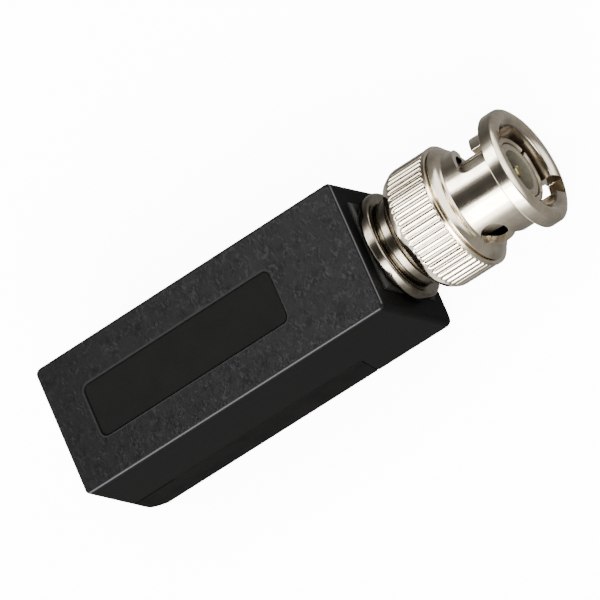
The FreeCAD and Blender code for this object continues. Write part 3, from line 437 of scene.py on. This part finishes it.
def with_slots(mesh):
    """Nut with both entry grooves and both ramps cut through its wall."""
    obj = bpy.data.objects.new("nut_blank", mesh)
    bpy.context.scene.collection.objects.link(obj)
    outward(mesh)
    cutters = []
    for half_turn in (0, math.pi):
        turn = math.radians(SLOT_CLOCK) + half_turn
        for cutter in (entry_cutter(turn), ramp_cutter(turn)):
            outward(cutter)
            tool = bpy.data.objects.new(cutter.name, cutter)
            bpy.context.scene.collection.objects.link(tool)
            cut = obj.modifiers.new(cutter.name, "BOOLEAN")
            cut.object = tool
            cut.solver = "EXACT"
            cutters.append(tool)
    ready = obj.evaluated_get(bpy.context.evaluated_depsgraph_get())
    done = bpy.data.meshes.new_from_object(ready)
    for tool in cutters + [obj]:
        bpy.data.objects.remove(tool)
    done.name = "bayonet_nut_shell"
    return done


def bayonet_nut():
    """Coupling nut: knurl, rim, neck, end flange and the two slots."""
    shell = with_slots(knurled(filled_in(nut_outline(), LONGEST_SIDE)))
    return piece(shell, "nut", "bayonet_nut")


def rear_body():
    """Rear body of the plug: beaded base ring, fine groove, collar and tail."""
    low, high = (corner[0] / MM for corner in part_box("connector_body"))
    collar = high
    groove = collar - COLLAR_WIDTH
    ring = groove - BODY_GROOVE_WIDTH
    block = ring - BASE_RING_WIDTH
    outline = eased([
        (low, TAIL_BORE, 0.03),
        (low, TAIL_RADIUS, 0.1),
        (block, TAIL_RADIUS, 0.02),
        (block, BASE_RING_RADIUS, 0.55),
        (ring, BASE_RING_RADIUS, 0.55),
        (ring, BODY_GROOVE_RADIUS, 0.03),
        (groove, BODY_GROOVE_RADIUS, 0.03),
        (groove, COLLAR_RADIUS, 0.2),
        (collar, COLLAR_RADIUS, 0.3),
        (collar, COLLAR_BORE, 0.02),
        (collar - COLLAR_BORE_DEPTH, COLLAR_BORE, 0.02),
        (collar - COLLAR_BORE_DEPTH, TAIL_BORE, 0.02),
    ], steps=9)
    return piece(turned("rear_body", outline, BODY_STEPS), "case", "connector_body")


def wave_washer():
    """Wave spring: a flat ring whose height runs through three waves in a turn."""
    low, high = (corner[0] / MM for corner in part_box("wave_washer"))
    steps = 180
    swing = (high - low - WASHER_THICKNESS) / 2
    a = np.linspace(0, TURN, steps, endpoint=False)[None, :]
    section = eased([
        (0, WASHER_INSIDE, 0.05),
        (0, WASHER_OUTSIDE, 0.05),
        (WASHER_THICKNESS, WASHER_OUTSIDE, 0.05),
        (WASHER_THICKNESS, WASHER_INSIDE, 0.05),
    ], 4)
    lift = low + swing - swing * np.cos(WASHER_WAVES * a)
    points = about_axis(section[:, :1] + lift, section[:, 1:], a)
    mesh = as_mesh("wave_spring", points.reshape(-1, 3), quads(len(section), steps))
    obj = piece(mesh, "case", "wave_washer")
    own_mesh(obj)
    return obj


def gasket():
    """Rubber ring with well rounded edges."""
    low, high = (corner[0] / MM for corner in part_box("gasket"))
    outline = eased([
        (low, GASKET_INSIDE, 0.1),
        (low, GASKET_OUTSIDE, 0.35),
        (high, GASKET_OUTSIDE, 0.35),
        (high, GASKET_INSIDE, 0.1),
    ], 8)
    return piece(turned("gasket_ring", outline), "case", "gasket")


def centre_pin():
    """Gold pin: round nose, shank, stem and a solder cup behind."""
    low, high = (corner[0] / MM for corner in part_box("centre_pin"))
    well = high - SHANK_LENGTH
    tail = low + STEM_START
    outline = eased([
        (low + CUP_DEPTH, 0.0, 0.0),
        (low + CUP_DEPTH, CUP_BORE, 0.0),
        (low, CUP_BORE, 0.05),
        (low, CUP_RADIUS, 0.1),
        (tail, CUP_RADIUS, 0.02),
        (tail, STEM_RADIUS, 0.02),
        (well, STEM_RADIUS, 0.08),
        (well, SHANK_RADIUS, 0.02),
        (high, SHANK_RADIUS, 0.62),
        (high, 0.0, 0.0),
    ], steps=8)
    pin = turned("contact_pin", outline, PIN_STEPS, solid=True)
    return piece(pin, "case", "centre_pin")


def linear(code):
    """sRGB hex to the linear colour that a shader reads."""
    parts = [int(code[i:i + 2], 16) / 255 for i in (1, 3, 5)]
    return tuple(c / 12.92 if c <= 0.04045 else ((c + 0.055) / 1.055) ** 2.4 for c in parts) + (1.0,)


def grey(value):
    """Plain number as the colour that a ramp's stop holds."""
    return (value, value, value, 1.0)


def room_light(level):
    """Brightness of the room as its slightly warm colour."""
    return (level, level * ROOM_GREEN, level * ROOM_BLUE, 1.0)


def node(tree, kind, inputs=None, stops=(), **settings):
    """Add a node with its settings, its socket values or links, and the stops of a ramp."""
    made = tree.nodes.new(kind)
    for name, value in settings.items():
        setattr(made, name, value)
    for name, value in (inputs or {}).items():
        if isinstance(value, bpy.types.Node):
            value = value.outputs[0]
        if isinstance(value, bpy.types.NodeSocket):
            tree.links.new(value, made.inputs[name])
        else:
            made.inputs[name].default_value = value
    for index, (position, colour) in enumerate(stops):
        band = made.color_ramp.elements
        stop = band[index] if index < 2 else band.new(position)
        stop.position, stop.color = position, colour
    return made


def finish(name, colour, rough, metal=0.0, **sockets):
    """New material: its tree, its shader and where it is on the piece, in millimetres."""
    made = bpy.data.materials.new(name)
    made.use_nodes = True
    tree = made.node_tree
    shader = tree.nodes["Principled BSDF"]
    shader.inputs["Base Color"].default_value = linear(colour)
    shader.inputs["Roughness"].default_value = rough
    shader.inputs["Metallic"].default_value = metal
    for socket, value in sockets.items():
        shader.inputs[socket.replace("_", " ")].default_value = value
    place = node(tree, "ShaderNodeTexCoord").outputs["Object"]
    scaled = node(tree, "ShaderNodeMapping", {"Vector": place, "Scale": (1 / MM, 1 / MM, 1 / MM)})
    return made, tree, shader, scaled


def connect(tree, shader, tint, gloss, height, depth, edge):
    """Link colour, roughness and relief to the shader.

    The relief is a depth in millimetres, and it lies on edges eased to a radius.
    """
    tree.links.new(tint, shader.inputs["Base Color"])
    tree.links.new(gloss.outputs[0], shader.inputs["Roughness"])
    soft = node(tree, "ShaderNodeBevel", {"Radius": edge * MM}, samples=4)
    relief = node(tree, "ShaderNodeBump", {"Height": height, "Distance": depth * MM, "Normal": soft})
    tree.links.new(relief.outputs[0], shader.inputs["Normal"])


def leather(tree, place):
    """Leather grain: its creases, dark below a half and light above it, and its pebble.

    A crease is the level line of a noise that is drawn out across the case. The
    dark lines are taken from the light ones, and a coarse noise lets them come and go.
    """
    creases = []
    for turn, stretch in CREASES:
        skew = {"Vector": place, "Rotation": (0, 0, turn), "Scale": stretch}
        skew = node(tree, "ShaderNodeMapping", skew, vector_type="TEXTURE")
        wander = {"Vector": skew, "Scale": 1.0, "Detail": 3.0, "Roughness": 0.55, "Distortion": 0.4}
        wander = node(tree, "ShaderNodeTexNoise", wander)
        level = [(0.45, grey(0)), (0.5, grey(0.5)), (0.55, grey(0))]
        creases.append(node(tree, "ShaderNodeValToRGB", {"Fac": wander}, level))
    line = node(tree, "ShaderNodeMath", {0: creases[0], 1: creases[1]}, operation="SUBTRACT")
    # Creases come and go over a few millimetres
    patch = node(tree, "ShaderNodeTexNoise", {"Vector": place, "Scale": 0.6, "Detail": 3.0})
    here = [(0.38, grey(0.1)), (0.62, grey(0.9))]
    here = node(tree, "ShaderNodeValToRGB", {"Fac": patch}, here)
    shown = node(tree, "ShaderNodeMath", {0: line, 1: here, 2: 0.5}, operation="MULTIPLY_ADD")
    # Pebble of 0.15 mm, as coarse as it needs to show
    pebble = {"Vector": place, "Scale": 5.5, "Detail": 4.0, "Roughness": 0.7}
    return shown, node(tree, "ShaderNodeTexNoise", pebble)


def painted_recess_glint(tree, place, high):
    """Painted highlight in a hairline round the label's recess, by the distance to its rounded outline.

    The offsets from the middle, less the reach of the straight sides and never
    under zero, have the corners' radius as their length on the outline.
    """
    off = place
    for operation, by in (
        ("SUBTRACT", RECESS_MIDDLE),
        ("ABSOLUTE", (0, 0, 0)),
        ("SUBTRACT", RECESS_REACH),
        ("MAXIMUM", (0, 0, 0)),
    ):
        off = node(tree, "ShaderNodeVectorMath", {0: off, 1: by}, operation=operation)
    off = node(tree, "ShaderNodeVectorMath", {0: off}, operation="LENGTH").outputs["Value"]
    off = node(tree, "ShaderNodeMath", {0: off, 1: RECESS_RADIUS + HAIR_SHIFT}, operation="SUBTRACT")
    off = node(tree, "ShaderNodeMath", {0: off}, operation="ABSOLUTE")
    near = node(tree, "ShaderNodeMapRange", {"Value": off, 1: HAIR_FADES[0], 2: HAIR_FADES[1]})
    above = {"Value": high, 1: TOP_HEIGHT - HAIR_DEPTHS[0], 2: TOP_HEIGHT - HAIR_DEPTHS[1]}
    above = node(tree, "ShaderNodeMapRange", above)
    return node(tree, "ShaderNodeMath", {0: near, 1: above}, operation="MULTIPLY")


def painted_edge_glints(tree, place, spot, up):
    """Painted highlight in a line where the rounding of the top's edge turns through half a right angle.

    It runs along one side and beside the plug, and stops short of their corner.
    """
    edges = []
    for across, corner, along, stop, clear in (
        ((0, 1, 1), TOP_HEIGHT - TOP_HALF_WIDTH, "X", TOP_END - GLINT_ENDS[0], TOP_END - GLINT_ENDS[1]),
        ((-1, 0, 1), TOP_HEIGHT - TOP_END, "Y", GLINT_ENDS[0] - TOP_HALF_WIDTH, GLINT_ENDS[1] - TOP_HALF_WIDTH),
    ):
        off = node(tree, "ShaderNodeVectorMath", {0: place, 1: across}, operation="DOT_PRODUCT")
        off = node(tree, "ShaderNodeMath", {0: off.outputs["Value"], 1: corner}, operation="SUBTRACT")
        off = node(tree, "ShaderNodeMath", {0: off}, operation="ABSOLUTE")
        near = node(tree, "ShaderNodeMapRange", {"Value": off, 1: GLINT_FADES[0], 2: GLINT_FADES[1]})
        short = node(tree, "ShaderNodeMapRange", {"Value": spot.outputs[along], 1: stop, 2: clear})
        edges.append(node(tree, "ShaderNodeMath", {0: near, 1: short}, operation="MULTIPLY"))
    rim = node(tree, "ShaderNodeMath", {0: edges[0], 1: edges[1]}, operation="MAXIMUM")
    turned_up = [(0.15, grey(0)), (0.3, grey(1)), (0.95, grey(1)), (0.99, grey(0))]
    turned_up = node(tree, "ShaderNodeValToRGB", {"Fac": up}, turned_up)
    return node(tree, "ShaderNodeMath", {0: rim, 1: turned_up}, operation="MULTIPLY")


def moulded_abs(name, colour, raised, crease, hairline_highlight, edge_highlight, depth):
    """Injection moulded ABS from a tool with a leather grain on its top face.

    The grain gives the eye short wandering creases about a millimetre apart over
    a finer pebble. The sides are drawn smooth from the mould in the plain base
    colour; the top's lighter grain tones are painted light, lighter still towards
    the plug. A painted highlight draws a hairline round the label's recess, and
    another lies in a thin line on the top's edges beside the plug and along one side.
    """
    made, tree, shader, place = finish(name, colour, 0.5, Specular_IOR_Level=0.12, IOR=1.25)
    lie = node(tree, "ShaderNodeNewGeometry").outputs["True Normal"]
    up = node(tree, "ShaderNodeSeparateXYZ", {"Vector": lie}).outputs["Z"]
    top = node(tree, "ShaderNodeValToRGB", {"Fac": up}, [(0.93, grey(0)), (0.98, grey(1))])
    spot = node(tree, "ShaderNodeSeparateXYZ", {"Vector": place})
    shown, pebble = leather(tree, place)

    shades = [(0.0, linear(colour)), (0.5, linear(raised)), (1.0, linear(crease))]
    tint = node(tree, "ShaderNodeValToRGB", {"Fac": shown}, shades)
    fleck = node(tree, "ShaderNodeValToRGB", {"Fac": pebble}, [(0.35, grey(0.8)), (0.7, grey(1.22))])
    mixed = {"Factor": 1.0, 6: tint, 7: fleck}
    mixed = node(tree, "ShaderNodeMix", mixed, data_type="RGBA", blend_type="MULTIPLY").outputs[2]
    # Painted light: the top grows lighter towards the plug, over forty millimetres of the case
    painted_light_along = {"Value": spot.outputs["X"], 1: -20.0, 2: 20.0, 3: 0.72, 4: 1.3}
    painted_light_along = node(tree, "ShaderNodeMapRange", painted_light_along)
    mixed = node(tree, "ShaderNodeVectorMath", {0: mixed, "Scale": painted_light_along}, operation="SCALE").outputs[0]
    # Painted light and shade: the top takes the lighter grain, the sides keep the darker plain colour
    mixed = {"Factor": top, 6: linear(colour), 7: mixed}
    mixed = node(tree, "ShaderNodeMix", mixed, data_type="RGBA").outputs[2]
    # Painted highlight: a lighter hairline round the label's recess
    hair = painted_recess_glint(tree, place, spot.outputs["Z"])
    # Painted highlight: a thin bright line on the top's edges beside the plug and along one side
    rim = painted_edge_glints(tree, place, spot, up)
    for where, shade in ((hair, hairline_highlight), (rim, edge_highlight)):
        layer = {"Factor": where, 6: mixed, 7: linear(shade)}
        mixed = node(tree, "ShaderNodeMix", layer, data_type="RGBA").outputs[2]

    gloss = [(0.3, grey(0.42)), (0.75, grey(0.58))]
    gloss = node(tree, "ShaderNodeValToRGB", {"Fac": pebble}, gloss)
    gloss = node(tree, "ShaderNodeMath", {0: rim, 1: -0.2, 2: gloss}, operation="MULTIPLY_ADD")
    height = {0: shown, 1: CREASE_RELIEF, 2: pebble}
    height = node(tree, "ShaderNodeMath", height, operation="MULTIPLY_ADD")
    height = node(tree, "ShaderNodeMath", {0: height, 1: top}, operation="MULTIPLY")
    connect(tree, shader, mixed, gloss, height, depth, HOUSING_EDGE)
    return made


def satin_plastic(name, colour, light, rough, grain=6.0, depth=0.01, **sockets):
    """Moulded plastic from a stoned tool: even satin with a faint drift of shade.

    The grain is how many of the tool's marks lie in a millimetre, fewer than real
    so that they show, and the depth is that of their relief in millimetres.
    """
    made, tree, shader, place = finish(name, colour, rough, **sockets)
    # Shade drifts over about three millimetres
    drift = node(tree, "ShaderNodeTexNoise", {"Vector": place, "Scale": 0.35, "Detail": 4.0})
    tints = [(0.3, linear(colour)), (0.7, linear(light))]
    tint = node(tree, "ShaderNodeValToRGB", {"Fac": drift}, tints)
    fine = node(tree, "ShaderNodeTexNoise", {"Vector": place, "Scale": grain, "Detail": 3.0})
    spread = [(0.3, grey(max(rough - 0.07, 0.02))), (0.7, grey(rough + 0.08))]
    gloss = node(tree, "ShaderNodeValToRGB", {"Fac": fine}, spread)
    connect(tree, shader, tint.outputs[0], gloss, fine, depth, SMALL_EDGE)
    return made


def painted_bore_shade(tree, place):
    """Painted shade in a bore: how much of it a surface takes, by how squarely it faces the plug's axis."""
    out = node(tree, "ShaderNodeVectorMath", {0: place, 1: (0, 0, AXIS_HEIGHT)}, operation="SUBTRACT")
    out = node(tree, "ShaderNodeVectorMath", {0: out, 1: (0, 1, 1)}, operation="MULTIPLY")
    out = node(tree, "ShaderNodeVectorMath", {0: out}, operation="NORMALIZE")
    lie = node(tree, "ShaderNodeTexCoord").outputs["Normal"]
    out = node(tree, "ShaderNodeVectorMath", {0: out, 1: lie}, operation="DOT_PRODUCT")
    return node(tree, "ShaderNodeMapRange", {"Value": out.outputs["Value"], 1: -0.4, 2: -0.9})


def plated(name, colour, tarnish, rough, spread, turning=0.0, bore=None):
    """Bright plate over turned metal.

    The eye sees clear streaks of the room, softened by an orange peel of half a
    millimetre, with patches of a few millimetres that are rougher by the spread,
    and faint lathe lines along X. In a bore, where the surface faces the plug's
    axis, the plate is painted darker as shade and drawn rougher.
    """
    made, tree, shader, place = finish(name, colour, rough, 1.0)
    patch = {"Vector": place, "Scale": 0.55, "Detail": 5.0, "Roughness": 0.6}
    patch = node(tree, "ShaderNodeTexNoise", patch)
    tints = [(0.35, linear(colour)), (0.75, linear(tarnish))]
    tint = node(tree, "ShaderNodeValToRGB", {"Fac": patch}, tints).outputs[0]
    gloss = [(0.35, grey(rough)), (0.7, grey(rough + spread))]
    gloss = node(tree, "ShaderNodeValToRGB", {"Fac": patch}, gloss)
    height = node(tree, "ShaderNodeTexNoise", {"Vector": place, "Scale": 2.2, "Detail": 3.0})
    if turning:
        # Lathe lines 0.12 mm apart, drawn coarser than real so that they show
        thin = node(tree, "ShaderNodeMapping", {"Vector": place, "Scale": (8.0, 0.05, 0.05)})
        lines = node(tree, "ShaderNodeTexNoise", {"Vector": thin, "Scale": 1.0, "Detail": 2.0})
        height = {0: lines, 1: turning, 2: height}
        height = node(tree, "ShaderNodeMath", height, operation="MULTIPLY_ADD")
    # Painted shade: surfaces that face the plug's axis take the darker bore colour
    if bore:
        within = painted_bore_shade(tree, place)
        tint = {"Factor": within, 6: tint, 7: linear(bore)}
        tint = node(tree, "ShaderNodeMix", tint, data_type="RGBA").outputs[2]
        gloss = node(tree, "ShaderNodeMath", {0: within, 1: 0.1, 2: gloss}, operation="MULTIPLY_ADD")
    connect(tree, shader, tint, gloss, height, PLATE_RELIEF, SMALL_EDGE)
    return made


def finishes():
    """Every finish by the name of its material slot, and two more for parts of the plug."""
    return {
        # Case: black on black, told apart by leather grain, satin and a smooth film, with painted shade on
        # the cover
        "housing": moulded_abs(
            "leather_grained_abs",
            colour="#0A0A0A",
            raised="#121213",
            crease="#232325",
            # Painted highlight colours: the hairline round the label's recess, then the line on the top's
            # edges
            hairline_highlight="#1C1C1D",
            edge_highlight="#38393B",
            depth=0.06,
        ),
        # Painted shade: the cover is drawn darker than the housing, as the lower half is out of the light
        "cover": satin_plastic(
            "satin_abs_cover_in_painted_shade", "#060606", "#0A0A09", rough=0.6, Specular_IOR_Level=0.1, IOR=1.25
        ),
        "label": satin_plastic(
            "smooth_label_film", "#080908", "#0A0B0A", rough=0.3, grain=8.0, depth=0.0005,
            Specular_IOR_Level=0.05, IOR=1.25,
        ),
        "block": satin_plastic(
            "satin_nylon_block", "#0B0B0B", "#101010", rough=0.5, Specular_IOR_Level=0.25
        ),
        # Plug: a mirror on the nut, painted shade on the rear body, the insulator and the pin, warm gold on
        # the pin
        # The bore colour is painted shade for the inside of the nut
        "nickel": plated(
            "bright_nickel_plate", "#EADFCB", "#C6BCA8", rough=0.07, spread=0.07,
            turning=0.4, bore="#8F867A",
        ),
        # Painted shade: the rear body's plate is drawn dark for the shade it sits in under the nut
        "shaded_nickel": plated(
            "nickel_plate_in_painted_shade", "#8E877A", "#5F594E", rough=0.1, spread=0.1, turning=0.4
        ),
        "satin_nickel": plated("satin_nickel_plate", "#CFC6B6", "#B0A796", rough=0.35, spread=0.1),
        # Painted shade: the pin's gold is drawn dark and grey for the shade deep in the bore
        "gold": plated("gold_plate_in_painted_shade", "#A39A70", "#8F855C", rough=0.25, spread=0.15),
        # Painted shade: white PTFE drawn mid grey-olive for the shade deep in the nut
        "insulation": satin_plastic(
            "ptfe_in_painted_shade", "#6E6A5C", "#615D52", rough=0.5, grain=4.0, Specular_IOR_Level=0.4
        ),
        "gasket": satin_plastic(
            "silicone_rubber", "#2B2724", "#35302C", rough=0.6, grain=5.0, depth=0.02
        ),
        "spring_steel": plated("bare_spring_steel", "#8D8C8B", "#6E6B67", rough=0.28, spread=0.15),
        # Circuit: glossy dips and solder mask, chalky ferrite, warm wire and grey tin
        "board": satin_plastic("green_solder_mask", "#12402A", "#185236", rough=0.35, grain=3.0),
        "ferrite": satin_plastic(
            "ferrite_ceramic", "#2B2A2C", "#39383A", rough=0.75, grain=5.0, depth=0.05
        ),
        "enamelled_wire": plated("enamelled_copper", "#A65A2E", "#7F3F1E", rough=0.25, spread=0.1),
        "tinned": plated("tinned_copper", "#C9C8C4", "#A7A6A0", rough=0.3, spread=0.15),
        "suppressor": satin_plastic(
            "dipped_suppressor", "#1E4E8A", "#2A5F9E", rough=0.35, grain=2.0, depth=0.03
        ),
        "capacitor": satin_plastic(
            "dipped_film_capacitor", "#A8702A", "#B98036", rough=0.35, grain=2.0, depth=0.03
        ),
        "resistor": satin_plastic(
            "lacquered_resistor", "#BFA986", "#CDB896", rough=0.4, grain=3.0, depth=0.02
        ),
        # Terminal: satin moulding, with plain plate on its cages and screws
        "terminal": satin_plastic(
            "green_polyamide", "#1F6B3E", "#267A49", rough=0.45, grain=5.0, depth=0.02
        ),
        "clamp": plated("nickelled_clamp", "#B9B5AB", "#98948A", rough=0.3, spread=0.15),
        "screw": plated("zinc_plated_steel", "#B4B6B8", "#8E9090", rough=0.3, spread=0.15),
    }


def dress(obj, material):
    """Give an object its one finish."""
    obj.data.materials.clear()
    obj.data.materials.append(material)


def camera():
    """Camera at the photograph's viewing angle, with its long lens."""
    turn = (
        Matrix.Rotation(TURN_ABOUT_Z, 3, "Z")
        @ Matrix.Rotation(TURN_ABOUT_Y, 3, "Y")
        @ Matrix.Rotation(TURN_ABOUT_X, 3, "X")
    )
    place = LOOK_AT - turn.transposed() @ Vector((ASIDE, DOWN, -DISTANCE))
    data = bpy.data.cameras.new("camera")
    data.sensor_width = SENSOR
    data.lens = SENSOR * PIXELS_PER_MM * DISTANCE / MM / PICTURE
    data.clip_start = 0.01
    data.clip_end = 10.0
    obj = bpy.data.objects.new("camera", data)
    obj.matrix_world = Matrix.Translation(place) @ turn.transposed().to_4x4()
    bpy.context.scene.collection.objects.link(obj)
    bpy.context.scene.camera = obj


def floor():
    """Plain white floor under the case."""
    corners = np.array([(-1, -1, 0), (1, -1, 0), (1, 1, 0), (-1, 1, 0)]) * FLOOR_REACH
    mesh = as_mesh("floor", corners, np.array([[0, 1, 2, 3]]))
    lit = {"Specular_IOR_Level": 0.1, "Emission_Strength": FLOOR_LIGHT, "Emission_Color": grey(1)}
    mesh.materials.append(finish("pale_floor", "#FBFBFB", 0.9, **lit)[0])
    obj = bpy.data.objects.new("floor", mesh)
    bpy.context.scene.collection.objects.link(obj)
    # Work above it shows the room and not the floor's glare
    obj.visible_glossy = False
    obj.visible_diffuse = False


def key_light():
    """Soft rectangular light aimed at the case, its long side along it."""
    around, up = math.radians(KEY_AROUND), math.radians(KEY_UP)
    away = Vector((math.cos(up) * math.cos(around), math.cos(up) * math.sin(around), math.sin(up)))
    data = bpy.data.lights.new("key", "AREA")
    data.shape = "RECTANGLE"
    data.size, data.size_y = KEY_LENGTH, KEY_WIDTH
    data.energy = KEY_POWER
    obj = bpy.data.objects.new("key", data)
    side = away.cross(Vector((1, 0, 0))).normalized()
    along = side.cross(away).normalized()
    rows = Matrix((along, side, away)).transposed()
    obj.matrix_world = Matrix.Translation(away * KEY_AWAY + LOOK_AT) @ rows.to_4x4()
    bpy.context.scene.collection.objects.link(obj)


def room():
    """Soft studio room, painted round the plug's axis.

    Grey takes over off the plug's end, one broad light is set into that, and a
    softer one stands behind the case, dimmer on the far side.
    """
    world = bpy.data.worlds.new("studio")
    bpy.context.scene.world = world
    world.use_nodes = True
    tree = world.node_tree
    toward = node(tree, "ShaderNodeTexCoord").outputs["Generated"]
    parts = node(tree, "ShaderNodeSeparateXYZ", {"Vector": toward})
    x, y, z = (parts.outputs[letter] for letter in "XYZ")
    angle = node(tree, "ShaderNodeMath", {0: z, 1: y}, operation="ARCTAN2")
    turn = node(tree, "ShaderNodeMapRange", {"Value": angle, 1: -math.pi, 2: math.pi})
    stops = [((at + 180) / 360, room_light(level)) for at, level in ROOM_LEVELS]
    bands = node(tree, "ShaderNodeValToRGB", {"Fac": turn}, stops)
    # How far a direction leans off the plug's end
    front = node(tree, "ShaderNodeMapRange", {"Value": x, 1: 0.3, 2: 0.6})
    # How far it leans behind the case, and towards the side in view
    behind = node(tree, "ShaderNodeMapRange", {"Value": x, 1: -0.5, 2: -0.62})
    aside = node(tree, "ShaderNodeMapRange", {"Value": y, 1: 0.3, 2: -0.1, 3: 0.08, 4: 1.0})
    behind = node(tree, "ShaderNodeMath", {0: behind, 1: aside}, operation="MULTIPLY")
    # Further off the end, above the floor and clear of the key light's side
    end = node(tree, "ShaderNodeMapRange", {"Value": x, 1: 0.6, 2: 0.7})
    above = node(tree, "ShaderNodeMapRange", {"Value": z, 1: -0.25, 2: 0.0})
    end = node(tree, "ShaderNodeMath", {0: end, 1: above}, operation="MULTIPLY")
    clear = node(tree, "ShaderNodeMapRange", {"Value": y, 1: -0.5, 2: -0.3})
    end = node(tree, "ShaderNodeMath", {0: end, 1: clear}, operation="MULTIPLY")
    painted = bands
    for where, colour in (
        (front, FRONT_GREY),
        (behind, REAR_LIGHT),
        (end, room_light(END_LIGHT)),
    ):
        layer = {"Factor": where, 6: painted, 7: colour}
        painted = node(tree, "ShaderNodeMix", layer, data_type="RGBA").outputs[2]
    tree.links.new(painted, tree.nodes["Background"].inputs["Color"])


looks = finishes()
for row in frame["record"]["subparts"]:
    dress(NODES[row["node"]], looks[row["material_slot"]])
# Plate inside the nut isn't polished
dress(NODES["outer_contact"], looks["satin_nickel"])

for made, look in (
    (bayonet_nut(), "nickel"),
    (rear_body(), "shaded_nickel"),
    (wave_washer(), "spring_steel"),
    (gasket(), "gasket"),
    (centre_pin(), "gold"),
):
    dress(made, looks[look])

floor()
room()
camera()
key_light()
